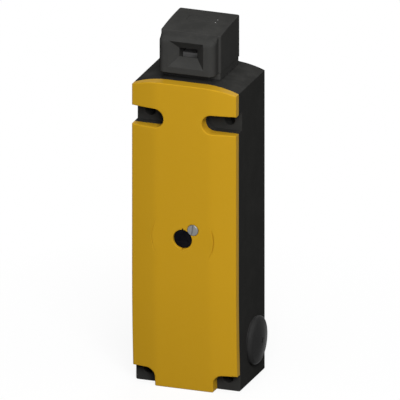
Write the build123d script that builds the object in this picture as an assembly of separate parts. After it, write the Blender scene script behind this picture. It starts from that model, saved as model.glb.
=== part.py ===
"""Tongue interlock switch with solenoid guard locking, built as separate pieces.

The switch stands on its lower end. X runs across the yellow cover, Y runs from the cover
at the front (-Y) to the mounting face at the back (+Y), and Z runs up to the actuating head.
The origin is at the middle of the footprint. All sizes are in millimetres.
"""
from build123d import *
import math
import os

os.makedirs("parts", exist_ok=True)

# Overall envelope of the body
body_width = 54.0
body_depth = 43.5
body_height = 158.0
top_flat_half = 9.5
top_arch_radius = 49.0
front_tuck = 2.3
tuck_height = 60.0
wall = 3.0
back_wall = 3.0

# Yellow front cover
cover_centre_thickness = 6.2
cover_edge_thickness = 4.0
cover_flat_half = 12.7
cover_side_bulge = 0.45
cover_pocket_depth = 2.9
cover_pocket_margin = 5.0
cover_pocket_rise = 1.0
land_radius = 15.85
screw_boss_wall = 1.2
release_boss_wall = 2.2

# Screw that locks the release, placed from the release's centre
cover_screw_right = 5.3
cover_screw_up = 5.2
cover_screw_radius = 1.5
cover_screw_head_radius = 3.0
cover_screw_head_round = 0.35
cover_screw_lean = 8.0
cover_screw_cover = 0.6
screw_head_gap = 0.15
screw_slot_half = 0.4
screw_slot_depth = 0.7

# Snap hooks behind the cover and the sealing cord in front of the housing
hook_from_lower_hole = 31.6
hook_from_upper_hole = 23.2
hook_half_height = 4.0
hook_length = 7.0
hook_thickness = 1.7
hook_root = 0.3
hook_barb = 0.7
hook_barb_length = 2.2
hook_tip = 0.6
hook_gap = 0.15
gasket_inset = 0.8
gasket_width = 1.4
gasket_thickness = 1.2

# Mounting holes and the open corners of the cover that give access to them
mount_spacing_x = 41.0
upper_hole_drop = 18.8
lower_hole_z = 6.4
mount_hole_radius = 2.65
slot_height = 9.6
slot_inner_x = 10.0
upper_ledge_depth = 4.5
notch_inner_x = 15.07
notch_height = 9.0
notch_radius = 4.5
foot_corner_radius = 3.0
lower_ledge_depth = 2.4

# Cable entries, M20 x 1.5 at both sides and underneath
entry_radius = 9.2
entry_boss_radius = 12.5
entry_boss_length = 9.0
side_entry_boss_length = 7.0
entry_from_back = 15.5
side_entry_z = 20.4
plug_radius = 12.25
plug_rim_height = 2.5
plug_rim_round = 0.9
plug_dome_height = 1.3
plug_shank_wall = 2.0
plug_key_half_length = 3.2
plug_key_half_width = 0.5
plug_key_depth = 0.8
plug_key_turn = 20.0
plug_seal_thickness = 0.6
plug_seal_inset = 0.6

# Actuating head, placed from the cam's axis and the top of the body
head_half_width = 15.5
head_back_reach = 14.8
head_front_reach = 12.6
head_height = 21.3
head_base_height = 4.1
head_top_radius = 188.0
head_corner_radius = 1.0
nose_inset = 1.0
nose_length = 7.3
nose_corner_radius = 3.5
nose_top_round = 3.0
funnel_half_width = 8.9
funnel_height = 13.3
funnel_depth = 4.0
tongue_half_width = 4.7
tongue_height = 4.5
tongue_rise = 3.55
top_slot_half_width = 7.3
top_slot_depth_y = 5.0
top_plug_gap = 0.1
top_plug_nick = 1.6
top_plug_nick_half = 0.6
head_base_inset = 0.3
head_gasket_thickness = 0.8
head_gasket_inset = 0.7
head_pad_depth = 1.0
head_screw_inset_x = 4.2
head_screw_inset = 3.95
head_screw_radius = 1.5
head_screw_depth = 8.0
head_screw_head_radius = 2.75
head_screw_head_height = 2.0
head_screw_boss_wall = 1.7
head_screw_boss_height = 1.1
screw_hole_gap = 0.1

# Cam wheel and plunger
cam_rise = 6.4
cam_radius = 9.0
cam_half_width = 5.3
cam_turn = 60.0
cam_hub_radius = 3.9
cam_rim_depth = 0.6
cam_mouth_gap = 0.1
cam_mouth_side = 1.0
cam_groove_half_width = 2.9
cam_groove_before = 22.0
cam_groove_after = 25.0
cam_clearance = 0.15
cam_side_gap = 0.7
cam_space_gap = 0.6
cam_well_gap = 0.3
cam_roof_gap = 1.1
axle_radius = 2.0
axle_half_length = 10.0
axle_post_gap = 1.2
plunger_lift = 3.0
plunger_radius = 2.5
plunger_nose_radius = 1.5
plunger_blade_share = 0.96
rod_stand = 0.2
neck_radius = 2.0
neck_rise = 2.5
collar_radius = 4.0
collar_thickness = 1.0
plunger_arm_drop = 10.0
plunger_arm_height = 3.0
plunger_arm_half = 2.75
plunger_arm_ring = 3.2
clip_drop = 8.0
clip_radius = 4.2
clip_thickness = 0.8
clip_bite = 0.5
clip_gap_half = 0.9
plunger_spring_radius = 3.4
plunger_wire = 0.7
plunger_hole_gap = 0.3
guide_radius = 6.0
guide_flange_radius = 8.0
guide_flange_thickness = 2.0
wiper_radius = 4.4
wiper_height = 1.6
running = 0.05
slide_gap = 0.2
clear_gap = 0.5

# Locking plate, carriage and solenoid
lock_travel = 5.0
lock_plate_drop = 29.0
lock_plate_thickness = 1.2
lock_plate_half_depth = 7.25
lock_plate_left = 10.0
lock_plate_corner = 1.5
lock_slot_half = 2.2
lock_gap = 0.4
lock_tab_length = 11.0
solenoid_length = 29.0
solenoid_height = 22.0
yoke_thickness = 2.0
armature_radius = 4.0
armature_gap = 0.06
armature_pin_radius = 2.0
armature_pin_rivet = 0.6
armature_bore_radius = 2.05
armature_bore_end = 4.4
armature_stop_gap = 0.4
bobbin_flange = 1.4
bobbin_tube_wall = 0.9
bobbin_gap = 0.1
coil_gap = 0.4
core_length = 5.2
core_rivet_radius = 3.0
armature_spring_radius = 1.5
armature_reach = 1.6
link_thickness = 2.0
link_half_depth = 3.0
link_leg = 5.0
fork_drop = 18.0
fork_height = 13.0
fork_floor = 3.0
prong_thickness = 1.3
spring_wire = 0.5

# Sheet frame of the mechanism
frame_thickness = 2.2
frame_corner_radius = 2.0
frame_side_gap = 0.4
frame_top_rise = 3.0
frame_foot_drop = 8.0
frame_foot_half = 11.6
frame_screw_x = 12.0
frame_foot_screw_x = 7.5
frame_screw_drop = 4.5
frame_screw_radius = 1.5
frame_screw_head_radius = 2.8
frame_screw_head_height = 1.9
frame_screw_skin = 0.6
spring_seat_rise = 6.0
spring_seat_half = 6.4
spring_seat_reach = 5.6
spring_seat_thickness = 2.0

# Auxiliary release
release_turn = 90.0
release_drop = 3.0
release_below_solenoid = 13.6
disc_radius = 4.8
disc_recess = 1.15
disc_thickness = 2.2
disc_round = 0.3
disc_mark_half = 0.45
disc_mark_depth = 0.5
disc_mark_inner = 3.9
key_radius = 3.6
key_depth = 1.4
release_seal_radius = 4.2
release_seal_thickness = 1.3
release_shaft_radius = 2.5
release_pin_radius = 1.8
release_shaft_gap = 0.3
release_pitch_radius = 5.7
snail_hold = 12.0
follower_nose_radius = 1.5

# Carriage that the release lowers, and the channel that guides it
carriage_half_width = 10.5
carriage_thickness = 3.75
carriage_left = 6.0
carriage_right = 12.0
carriage_low_drop = 12.4
carriage_top_rise = 4.0
window_half = 8.4
window_rise = 7.6
plate_roof_gap = 0.3
lip_thickness = 1.4
lip_reach = 1.3
carriage_bridge = 2.0
carriage_collar_gap = 0.6
guide_thickness = 1.2
guide_rail = 1.8
guide_lip = 1.0
guide_foot_drop = 10.0
guide_foot_height = 2.0
guide_hole_radius = 6.0
guide_top_drop = 3.0
carriage_spring_radius = 1.6

# Contact blocks
contact_length = 26.0
contact_width = 18.0
contact_depth = 18.0
contact_wall = 3.0
contact_corner = 0.8
contact_axis = 13.8
contact_a_x = -10.5
contact_spring_pressed = 5.0
contact_spring_radius = 1.7
stem_radius = 2.0
stem_gap = 0.4
stem_show = 2.4
carrier_half = 3.0
bridge_half_length = 5.4
bridge_half_width = 1.6
bridge_thickness = 0.6
bridge_window = 0.8
bridge_gap = 1.0
button_radius = 1.0
button_height = 0.3
button_x = 4.2
bar_drop = 6.0
bar_half_width = 2.0
bar_thickness = 0.8
bar_inner_x = 3.3
bar_tail = 6.0
block_gap = 2.0

# Push rod between the plunger's arm and the tongue contact
push_rod_wall_gap = 1.2
push_rod_width = 2.8
push_rod_half = 1.75
push_rod_solenoid_gap = 1.4
push_foot_height = 3.0
push_foot_end = 0.6

# Terminals
terminal_gap = 1.5
terminal_width = 19.5
terminal_depth = 18.55
terminal_pitch = 5.4
terminal_count = 4
terminal_first = 4.9
terminal_column_inset = 5.0
terminal_column_pitch = 9.5
terminal_corner = 0.8
chamber_half_width = 3.4
chamber_half_height = 2.1
chamber_depth = 7.0
clamp_gap = 0.4
clamp_thickness = 1.2
terminal_screw_radius = 1.8
terminal_screw_height = 2.2
terminal_slot_half = 0.3
terminal_slot_depth = 0.8

# Places worked out from the sizes above
half_width = body_width / 2
inner_half_width = half_width - wall
back_y = body_depth / 2
cover_front_y = -back_y
front_y = cover_front_y + cover_centre_thickness
inner_back_y = back_y - back_wall
frame_face_y = inner_back_y - frame_thickness
tuck_radius = (tuck_height ** 2 + front_tuck ** 2) / (2 * front_tuck)
tuck_angle = math.degrees(math.asin(tuck_height / tuck_radius))
ceiling_z = body_height - wall
hole_x = mount_spacing_x / 2
upper_hole_z = body_height - upper_hole_drop
hook_heights = (lower_hole_z + hook_from_lower_hole, upper_hole_z - hook_from_upper_hole)
entry_y = back_y - entry_from_back
plug_seat_x = half_width + plug_seal_thickness

cam_y = frame_face_y - contact_axis
head_bottom_z = body_height + head_base_height
head_top_z = head_bottom_z + head_height
head_back_y = cam_y + head_back_reach
head_front_y = cam_y - head_front_reach
head_screw_x = head_half_width - head_screw_inset_x
head_screw_seat_z = ceiling_z - head_screw_boss_height
nose_half_width = head_half_width - nose_inset
nose_front_y = head_front_y - nose_length
cam_z = head_bottom_z + cam_rise
cam_pitch_radius = cam_radius - cam_rim_depth
cam_slope = plunger_lift / math.radians(cam_turn)
tongue_z = cam_z + tongue_rise
tongue_low_z = tongue_z - tongue_height / 2
tongue_high_z = tongue_z + tongue_height / 2
top_slot_y = cam_y + tongue_rise
nose_tip_z = cam_z - cam_pitch_radius
rod_top_z = body_height + rod_stand
clip_z = ceiling_z - clip_drop
clip_span = (clip_z, clip_z + clip_thickness)

lock_plate_z = ceiling_z - lock_plate_drop
lock_plate_top_z = lock_plate_z + lock_plate_thickness
collar_top_z = lock_plate_z - lock_gap
collar_low_z = collar_top_z - collar_thickness
neck_high_z = lock_plate_z + neck_rise
spring_seat_z = lock_plate_z + spring_seat_rise
plunger_low_z = lock_plate_z - plunger_arm_drop
arm_top_z = plunger_low_z + plunger_arm_height

solenoid_high_z = plunger_low_z - block_gap
solenoid_low_z = solenoid_high_z - solenoid_height
solenoid_z = solenoid_low_z + solenoid_height / 2
solenoid_y = frame_face_y - solenoid_height / 2
push_rod_left_x = push_rod_wall_gap - inner_half_width
push_rod_x = (push_rod_left_x, push_rod_left_x + push_rod_width)
push_rod_y = (cam_y - push_rod_half, cam_y + push_rod_half)
solenoid_left_x = push_rod_x[1] + push_rod_solenoid_gap
solenoid_right_x = solenoid_left_x + solenoid_length
coil_space_x = (solenoid_left_x + yoke_thickness, solenoid_right_x - yoke_thickness)
coil_space_half = solenoid_height / 2 - yoke_thickness
bobbin_tube_radius = armature_radius + bobbin_tube_wall
core_face_x = solenoid_left_x + core_length
armature_left_x = core_face_x + lock_travel + armature_stop_gap
armature_bore_end_x = solenoid_right_x - armature_bore_end
link_x = solenoid_right_x + lock_travel + armature_reach
tab_x = link_x + lock_gap
tab_right_x = tab_x + lock_plate_thickness
fork_low_z = lock_plate_z - fork_drop

guide_back_y = frame_face_y - solenoid_height
guide_front_y = guide_back_y - guide_thickness
carriage_back_y = guide_front_y - slide_gap
carriage_front_y = carriage_back_y - carriage_thickness
carriage_bar_y = (carriage_front_y, carriage_back_y)
carriage_x = (-carriage_left, carriage_right)
carriage_top_z = lock_plate_z + carriage_top_rise
release_z = solenoid_low_z - release_below_solenoid
release_slope = release_drop / math.radians(release_turn)
follower_z = release_z - release_pitch_radius
carriage_low_z = release_z - carriage_low_drop
guide_z = (carriage_low_z - guide_foot_drop, plunger_low_z - guide_top_drop)
disc_front_y = cover_front_y + disc_recess
disc_back_y = disc_front_y + disc_thickness
release_seal_back_y = disc_back_y + release_seal_thickness
cover_screw_x = cover_screw_right
cover_screw_z = release_z + cover_screw_up
cover_screw_seat_y = disc_front_y - screw_head_gap
cover_screw_end_y = front_y - cover_screw_cover

contact_bar_z = contact_length - bar_drop
contact_b_x = link_x - lock_travel - stem_show - contact_length
contact_b_z = solenoid_low_z - block_gap - contact_width
push_foot_high_z = contact_b_z - plunger_lift - clear_gap
push_foot_low_z = push_foot_high_z - push_foot_height
contact_a_z = push_foot_low_z - plunger_lift - clear_gap - contact_length
frame_half_width = half_width - side_entry_boss_length - frame_side_gap
frame_low_z = contact_a_z - block_gap / 2
frame_high_z = lock_plate_z + frame_top_rise
terminal_left_x = contact_a_x + contact_width / 2 + terminal_gap
terminal_x = (terminal_left_x, terminal_left_x + terminal_width)
terminal_front_y = frame_face_y - terminal_depth
chamber_floor_y = terminal_front_y + chamber_depth


def block(x, y, z):
    """Box between two limits on each axis."""
    size = Box(x[1] - x[0], y[1] - y[0], z[1] - z[0])
    return Pos((x[0] + x[1]) / 2, (y[0] + y[1]) / 2, (z[0] + z[1]) / 2) * size


def rod_x(radius, x, y, z):
    """Cylinder along X between two limits."""
    turned = Rot(0, 90, 0) * Cylinder(radius, x[1] - x[0])
    return Pos((x[0] + x[1]) / 2, y, z) * turned


def rod_y(radius, y, x, z):
    """Cylinder along Y between two limits."""
    turned = Rot(90, 0, 0) * Cylinder(radius, y[1] - y[0])
    return Pos(x, (y[0] + y[1]) / 2, z) * turned


def rod_z(radius, z, x, y):
    """Cylinder along Z between two limits."""
    return Pos(x, y, (z[0] + z[1]) / 2) * Cylinder(radius, z[1] - z[0])


def along_x(sketch, x):
    """Extrude a sketch drawn in (y, z) between two X limits."""
    return extrude(Plane.YZ.offset(x[0]) * sketch, amount=x[1] - x[0])


def along_y(sketch, y):
    """Extrude a sketch drawn in (x, z) between two Y limits."""
    return extrude(Plane.XZ.offset(-y[1]) * sketch, amount=y[1] - y[0])


def along_z(sketch, z):
    """Extrude a sketch drawn in (x, y) between two Z limits."""
    return extrude(Plane.XY.offset(z[0]) * sketch, amount=z[1] - z[0])


def wider(span, by):
    """Limits moved outward at both ends."""
    return (span[0] - by, span[1] + by)


def closed(*edges):
    """Face bounded by the given edges in order."""
    return make_face(Wire(edges))


def rectangle(x, z):
    """Flat rectangle between two limits on each axis."""
    return Pos((x[0] + x[1]) / 2, (z[0] + z[1]) / 2) * Rectangle(x[1] - x[0], z[1] - z[0])


def polar(radius, degrees):
    """Point at an angle measured from straight down towards the first axis."""
    turn = math.radians(degrees)
    return (radius * math.sin(turn), -radius * math.cos(turn))


def spring_z(radius, wire, z, turns, x, y):
    """Helical compression spring of square wire along Z, wire ends included in its limits."""
    height = z[1] - z[0] - 2 * wire
    path = Helix(pitch=height / turns, height=height, radius=radius)
    section = Plane(origin=path @ 0, z_dir=path % 0) * Rectangle(wire, wire)
    coil = sweep(section, path=path, is_frenet=True)
    return Pos(x, y, z[0] + wire) * coil


def cam_surface(pitch_radius, slope, nose_radius, degrees):
    """Radius of a cam's surface that keeps a round-nosed follower on a spiral pitch curve."""
    pitch = pitch_radius + slope * math.radians(degrees)
    lean = math.atan(abs(slope) / pitch)
    return pitch - (nose_radius + cam_clearance) / math.cos(lean)


def spiral(pitch_radius, slope, nose_radius, turn):
    """Curve of a cam's surface over its turn, with its first and last radius."""
    steps = 6
    radii = [cam_surface(pitch_radius, slope, nose_radius, turn * i / steps) for i in range(steps + 1)]
    curve = Spline([polar(radius, turn * i / steps) for i, radius in enumerate(radii)])
    return curve, radii[0], radii[-1]


def arc_about(radius, start, end):
    """Arc about the cam's centre between two angles."""
    return ThreePointArc(polar(radius, start), polar(radius, (start + end) / 2), polar(radius, end))


def groove_outline(rim):
    """Spiral groove of the cam wheel, open at the rim and level for a few degrees past its ends."""
    curve, first, last = spiral(cam_pitch_radius, -cam_slope, plunger_nose_radius, cam_turn)
    low = -cam_groove_before
    high = cam_turn + cam_groove_after
    return closed(
        Line(polar(rim, low), polar(first, low)),
        arc_about(first, low, 0),
        curve,
        arc_about(last, cam_turn, high),
        Line(polar(last, high), polar(rim, high)),
        arc_about(rim, high, low),
    )


def snail_outline():
    """Snail cam of the release: a spiral rise, a short hold, a radial step and a base circle."""
    curve, base, peak = spiral(release_pitch_radius, release_slope, follower_nose_radius, release_turn)
    hold = release_turn + snail_hold
    return closed(
        curve,
        arc_about(peak, release_turn, hold),
        Line(polar(peak, hold), polar(base, hold)),
        arc_about(base, hold, 360),
    )


def body_outline():
    """Front view of the body: straight sides, and an arched top with a flat middle."""
    centre_z = body_height - top_arch_radius
    reach = half_width - top_flat_half
    shoulder_z = centre_z + math.sqrt(top_arch_radius ** 2 - reach ** 2)
    half_turn = math.asin(reach / top_arch_radius) / 2
    middle_x = top_flat_half + top_arch_radius * math.sin(half_turn)
    middle_z = centre_z + top_arch_radius * math.cos(half_turn)
    return closed(
        Line((-half_width, 0), (half_width, 0)),
        Line((half_width, 0), (half_width, shoulder_z)),
        ThreePointArc((half_width, shoulder_z), (middle_x, middle_z), (top_flat_half, body_height)),
        Line((top_flat_half, body_height), (-top_flat_half, body_height)),
        ThreePointArc((-top_flat_half, body_height), (-middle_x, middle_z), (-half_width, shoulder_z)),
        Line((-half_width, shoulder_z), (-half_width, 0)),
    )


def slot_outline(side):
    """Upper access slot, open at the side of the body, with a round inner end."""
    radius = slot_height / 2
    inner = slot_inner_x + radius
    limits = sorted((side * inner, side * (half_width + 1)))
    bar = rectangle(limits, (upper_hole_z - radius, upper_hole_z + radius))
    return bar + Pos(side * inner, upper_hole_z) * Circle(radius)


def notch_outline(side):
    """Lower access notch at a bottom corner, with a rounded inner corner."""
    limits = sorted((side * notch_inner_x, side * (half_width + 1)))
    bar = rectangle(limits, (-1, notch_height))
    corner = bar.vertices().sort_by(lambda v: abs(v.X) - v.Y)[0]
    return fillet(corner, notch_radius)


def cover_outline():
    """Front view of the cover: the body's outline less the four access openings."""
    outline = body_outline()
    for side in (-1, 1):
        outline -= slot_outline(side)
        outline -= notch_outline(side)
    feet = [v for v in outline.vertices() if abs(v.Y) < 0.01]
    return fillet(feet, foot_corner_radius)


def front_side(outward):
    """Everything behind the body's front surface moved outward, tucked in at the bottom."""
    radius = tuck_radius + outward
    centre_y = front_y + tuck_radius
    low = tuck_angle * 1.05
    top = body_height + 1
    lowest = (centre_y - radius * math.cos(math.radians(low)),
              tuck_height - radius * math.sin(math.radians(low)))
    middle = (centre_y - radius * math.cos(math.radians(low / 2)),
              tuck_height - radius * math.sin(math.radians(low / 2)))
    profile = closed(
        Line((front_y - outward, top), (front_y - outward, tuck_height)),
        ThreePointArc((front_y - outward, tuck_height), middle, lowest),
        Line(lowest, (back_y, lowest[1])),
        Line((back_y, lowest[1]), (back_y, top)),
        Line((back_y, top), (front_y - outward, top)),
    )
    return along_x(profile, (-half_width - 1, half_width + 1))


def make_housing():
    """Deep moulded box, open at the front, with solid columns round the mounting holes."""
    outline = cover_outline()
    housing = along_y(body_outline(), (front_y - 1, back_y)) & front_side(0)
    housing -= along_y(offset(outline, amount=-wall), (front_y - 1, inner_back_y))
    housing += block((-head_half_width, head_half_width), (head_front_y, head_back_y),
                     (body_height - head_pad_depth, body_height))
    for side in (-1, 1):
        housing -= along_y(slot_outline(side), (front_y - 1, front_y + upper_ledge_depth))
        housing -= along_y(notch_outline(side), (front_y - 1, front_y + lower_ledge_depth))
        boss = sorted((side * (half_width - side_entry_boss_length), side * (half_width - wall / 2)))
        housing += rod_x(entry_boss_radius, boss, entry_y, side_entry_z)
    housing += rod_z(entry_boss_radius, (wall / 2, entry_boss_length), 0, entry_y)
    for side in (-1, 1):
        bore = sorted((side * (half_width + 1), side * (half_width - side_entry_boss_length - 1)))
        housing -= rod_x(entry_radius, bore, entry_y, side_entry_z)
        for hole_z in (lower_hole_z, upper_hole_z):
            housing -= rod_y(mount_hole_radius, (front_y, back_y + 1), side * hole_x, hole_z)
    housing -= rod_z(entry_radius, (-1, entry_boss_length + 1), 0, entry_y)
    housing -= rod_z(guide_radius, (ceiling_z - 1, body_height + 1), 0, cam_y)
    for x, y in head_screw_places():
        housing += rod_z(head_screw_radius + head_screw_boss_wall, (head_screw_seat_z, ceiling_z + 1), x, y)
        housing -= rod_z(head_screw_radius + screw_hole_gap, (head_screw_seat_z - 1, body_height + 1), x, y)
    for x, z in frame_screw_places():
        housing -= rod_y(frame_screw_radius, (inner_back_y - 1, back_y - frame_screw_skin), x, z)
    housing -= make_cover_gasket()
    for side in (-1, 1):
        for z in hook_heights:
            housing -= hook(side, z)
    return housing


def make_cover_gasket():
    """Sealing cord that follows the cover's outline in the housing's front rim."""
    outline = cover_outline()
    outer = offset(outline, amount=-gasket_inset)
    inner = offset(outline, amount=-gasket_inset - gasket_width)
    ring = along_y(outer - inner, (front_y - 1, front_y + front_tuck + 2 * gasket_thickness))
    return (ring & front_side(0)) - front_side(-gasket_thickness)


def hook(side, z):
    """Snap hook behind the cover that springs into a recess of the housing's side wall."""
    root = front_y - hook_root
    tip = root + hook_length
    outline = Polyline((inner_half_width - hook_thickness, root),
                       (inner_half_width - hook_gap, root),
                       (inner_half_width - hook_gap, tip - hook_barb_length),
                       (inner_half_width + hook_barb, tip - hook_barb_length),
                       (inner_half_width - hook_tip, tip),
                       (inner_half_width - hook_thickness, tip), close=True)
    solid = along_z(make_face(outline), (z - hook_half_height, z + hook_half_height))
    return solid if side > 0 else mirror(solid, about=Plane.YZ)


def crowned_slab():
    """Cover thickness with a flat middle and gently rounded sides, following the tucked front."""
    flat = (cover_flat_half, cover_front_y)
    edge = (half_width + 0.5, front_y - cover_edge_thickness)
    middle = ((flat[0] + edge[0]) / 2, (flat[1] + edge[1]) / 2 - cover_side_bulge)
    section = closed(
        Line((-edge[0], front_y), (edge[0], front_y)),
        Line((edge[0], front_y), edge),
        ThreePointArc(edge, middle, flat),
        Line(flat, (-flat[0], flat[1])),
        ThreePointArc((-flat[0], flat[1]), (-middle[0], middle[1]), (-edge[0], edge[1])),
        Line((-edge[0], edge[1]), (-edge[0], front_y)),
    )
    upright = extrude(Plane.XY.offset(tuck_height) * section, amount=body_height + 1 - tuck_height)
    bend = Axis((0, front_y + tuck_radius, tuck_height), (1, 0, 0))
    lower = revolve(Plane.XY.offset(tuck_height) * section, axis=bend, revolution_arc=tuck_angle * 1.05)
    return upright + lower


def make_front_cover():
    """Yellow moulded cover with a raised round land for the release and four access openings."""
    cover = crowned_slab()
    cover += rod_y(land_radius, (cover_front_y, front_y), 0, release_z)
    cover = cover & along_y(cover_outline(), (cover_front_y - 1, back_y))
    pocket_depth = (front_y - cover_pocket_depth, front_y + 1)
    pocket_low = tuck_height + cover_pocket_rise
    pocket_high = upper_hole_z - slot_height / 2 - cover_pocket_margin
    pocket_x = inner_half_width - wall
    pocket = block((-pocket_x, pocket_x), pocket_depth, (pocket_low, pocket_high))
    pocket -= rod_y(disc_radius + release_boss_wall, pocket_depth, 0, release_z)
    pocket -= rod_y(cover_screw_radius + screw_boss_wall, pocket_depth, cover_screw_x, cover_screw_z)
    cover -= pocket
    cover -= rod_y(disc_radius + running, (cover_front_y - 1, disc_back_y), 0, release_z)
    cover -= rod_y(release_seal_radius, (disc_back_y - 0.1, release_seal_back_y), 0, release_z)
    cover -= rod_y(release_shaft_radius + running, (disc_back_y, front_y + 1), 0, release_z)
    cover -= rod_y(cover_screw_head_radius + screw_head_gap, (cover_front_y - 1, cover_screw_seat_y),
                   cover_screw_x, cover_screw_z)
    cover -= rod_y(cover_screw_radius, (cover_screw_seat_y - 0.1, cover_screw_end_y),
                   cover_screw_x, cover_screw_z)
    for side in (-1, 1):
        for z in hook_heights:
            cover += hook(side, z)
    return cover


def make_cover_screw():
    """Slotted cheese-head screw beside the release disc, its head over the disc's rim."""
    head = rod_y(cover_screw_head_radius, (cover_front_y, cover_screw_seat_y), cover_screw_x, cover_screw_z)
    rim = head.faces().sort_by(Axis.Y)[0].edges()
    screw = fillet(rim, cover_screw_head_round)
    screw += rod_y(cover_screw_radius, (cover_screw_seat_y, cover_screw_end_y), cover_screw_x, cover_screw_z)
    reach = cover_screw_head_radius + 1
    slot = block((-screw_slot_half, screw_slot_half), (cover_front_y - 1, cover_front_y + screw_slot_depth),
                 (-reach, reach))
    return screw - Pos(cover_screw_x, 0, cover_screw_z) * Rot(0, cover_screw_lean, 0) * slot


def head_screw_places():
    """Centres of the four screws that hold the head, seen from above."""
    ys = (head_front_y + head_screw_inset, head_back_y - head_screw_inset)
    return [(side * head_screw_x, y) for side in (-1, 1) for y in ys]


def head_shape(half, y, low_z):
    """Head block of a half width between limits, its top falling gently from back to front."""
    centre = (head_back_y, head_top_z - head_top_radius)

    def top(at):
        return centre[1] + math.sqrt(head_top_radius ** 2 - (at - centre[0]) ** 2)

    middle = (y[0] + y[1]) / 2
    profile = closed(
        Line((y[0], low_z), (y[1], low_z)),
        Line((y[1], low_z), (y[1], top(y[1]))),
        ThreePointArc((y[1], top(y[1])), (middle, top(middle)), (y[0], top(y[0]))),
        Line((y[0], top(y[0])), (y[0], low_z)),
    )
    return along_x(profile, (-half, half))


def cam_space(low_z, high_z):
    """Pocket round the cam wheel between two heights."""
    reach = cam_radius + cam_space_gap
    half = cam_half_width + cam_side_gap
    return block((-half, half), (cam_y - reach, cam_y + reach), (low_z, high_z))


def make_head_housing():
    """Head block with the cam's pocket, both tongue entries and the axle's slots."""
    head = head_shape(head_half_width, (head_front_y, head_back_y), head_bottom_z)
    head = fillet(head.edges().filter_by(Axis.Z), head_corner_radius)
    head -= cam_space(head_bottom_z - 1, cam_z + cam_radius + cam_roof_gap)
    head -= block((-tongue_half_width, tongue_half_width), (head_front_y - 1, cam_y),
                  (tongue_low_z, tongue_high_z))
    head -= top_slot(cam_z + cam_radius, 0)
    slot = block((-axle_half_length, axle_half_length), (cam_y - axle_radius, cam_y + axle_radius),
                 (head_bottom_z - 1, cam_z))
    head -= slot + make_cam_axle()
    for x, y in head_screw_places():
        head -= rod_z(head_screw_radius, (head_bottom_z - 1, head_bottom_z + head_screw_depth), x, y)
    return head


def top_slot(low_z, gap):
    """Upper tongue entry, as far behind the cam's axis as the front entry is above it."""
    half_depth = top_slot_depth_y / 2 - gap
    half = top_slot_half_width - gap
    return block((-half, half), (top_slot_y - half_depth, top_slot_y + half_depth), (low_z, head_top_z + 1))


def make_top_slot_plug():
    """Blanking insert that closes the upper tongue entry flush with the head."""
    plug = top_slot(cam_z + cam_radius + cam_roof_gap + cam_well_gap, top_plug_gap)
    plug = plug & head_shape(head_half_width, (head_front_y, head_back_y), head_bottom_z)
    nick = block((top_slot_half_width - top_plug_nick, top_slot_half_width + 1),
                 (top_slot_y - top_plug_nick_half, top_slot_y + top_plug_nick_half),
                 (head_top_z - top_plug_nick, head_top_z + 1))
    return plug - nick


def make_head_nose():
    """Front plate of the head with the tapered funnel that guides the tongue."""
    nose = head_shape(nose_half_width, (nose_front_y, head_front_y), head_bottom_z)
    upright = [e for e in nose.edges().filter_by(Axis.Z) if e.center().Y < nose_front_y + 0.01]
    nose = fillet(upright, nose_corner_radius)
    front_top = [e for e in nose.edges() if e.center().Z > tongue_z
                 and e.bounding_box().min.Y < nose_front_y + nose_corner_radius + 0.01
                 and e.bounding_box().max.Y < head_front_y - 1
                 and e.bounding_box().size.Z < nose_top_round]
    nose = fillet(front_top, nose_top_round)
    mouth = rectangle((-funnel_half_width, funnel_half_width),
                      (tongue_z - funnel_height / 2, tongue_z + funnel_height / 2))
    throat = rectangle((-tongue_half_width, tongue_half_width), (tongue_low_z, tongue_high_z))
    funnel_end = nose_front_y + funnel_depth
    funnel = loft([Plane.XZ.offset(-nose_front_y) * mouth, Plane.XZ.offset(-funnel_end) * throat])
    return nose - funnel - along_y(throat, (funnel_end - 0.01, head_front_y + 1))


def head_foot(low_z, high_z, inset):
    """Plate under the head between two heights."""
    plate = block((-head_half_width + inset, head_half_width - inset),
                  (head_front_y + inset, head_back_y - inset), (low_z, high_z))
    return fillet(plate.edges().filter_by(Axis.Z), head_corner_radius)


def make_head_base():
    """Base of the head, with the cam's well, the plunger's hole and two posts under the axle."""
    base = head_foot(body_height + head_gasket_thickness, head_bottom_z, head_base_inset)
    well_floor = cam_z - cam_radius - cam_well_gap
    base += cam_space(body_height, well_floor)
    base -= cam_space(well_floor, head_bottom_z + 1)
    post = block((cam_half_width + axle_post_gap, axle_half_length - slide_gap),
                 (cam_y - axle_radius + screw_hole_gap, cam_y + axle_radius - screw_hole_gap),
                 (head_bottom_z - 1, cam_z - axle_radius))
    base += post + mirror(post, about=Plane.YZ)
    base -= rod_z(plunger_radius + plunger_hole_gap, (body_height - 1, head_bottom_z), 0, cam_y)
    for x, y in head_screw_places():
        base -= rod_z(head_screw_radius + screw_hole_gap, (body_height - 1, head_bottom_z + 1), x, y)
    return base


def make_head_gasket():
    """Flat gasket between the head's base and the body."""
    gasket = head_foot(body_height, body_height + head_gasket_thickness, head_gasket_inset)
    gasket -= cam_space(body_height - 1, body_height + 2)
    for x, y in head_screw_places():
        gasket -= rod_z(head_screw_radius + screw_hole_gap, (body_height - 1, body_height + 2), x, y)
    return gasket


def make_head_screws():
    """Four screws driven from inside the body up into the head."""
    screws = []
    for x, y in head_screw_places():
        shank = rod_z(head_screw_radius, (head_screw_seat_z, head_bottom_z + head_screw_depth), x, y)
        head_low_z = head_screw_seat_z - head_screw_head_height
        screws.append(shank + rod_z(head_screw_head_radius, (head_low_z, head_screw_seat_z), x, y))
    return Compound(screws)


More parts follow.
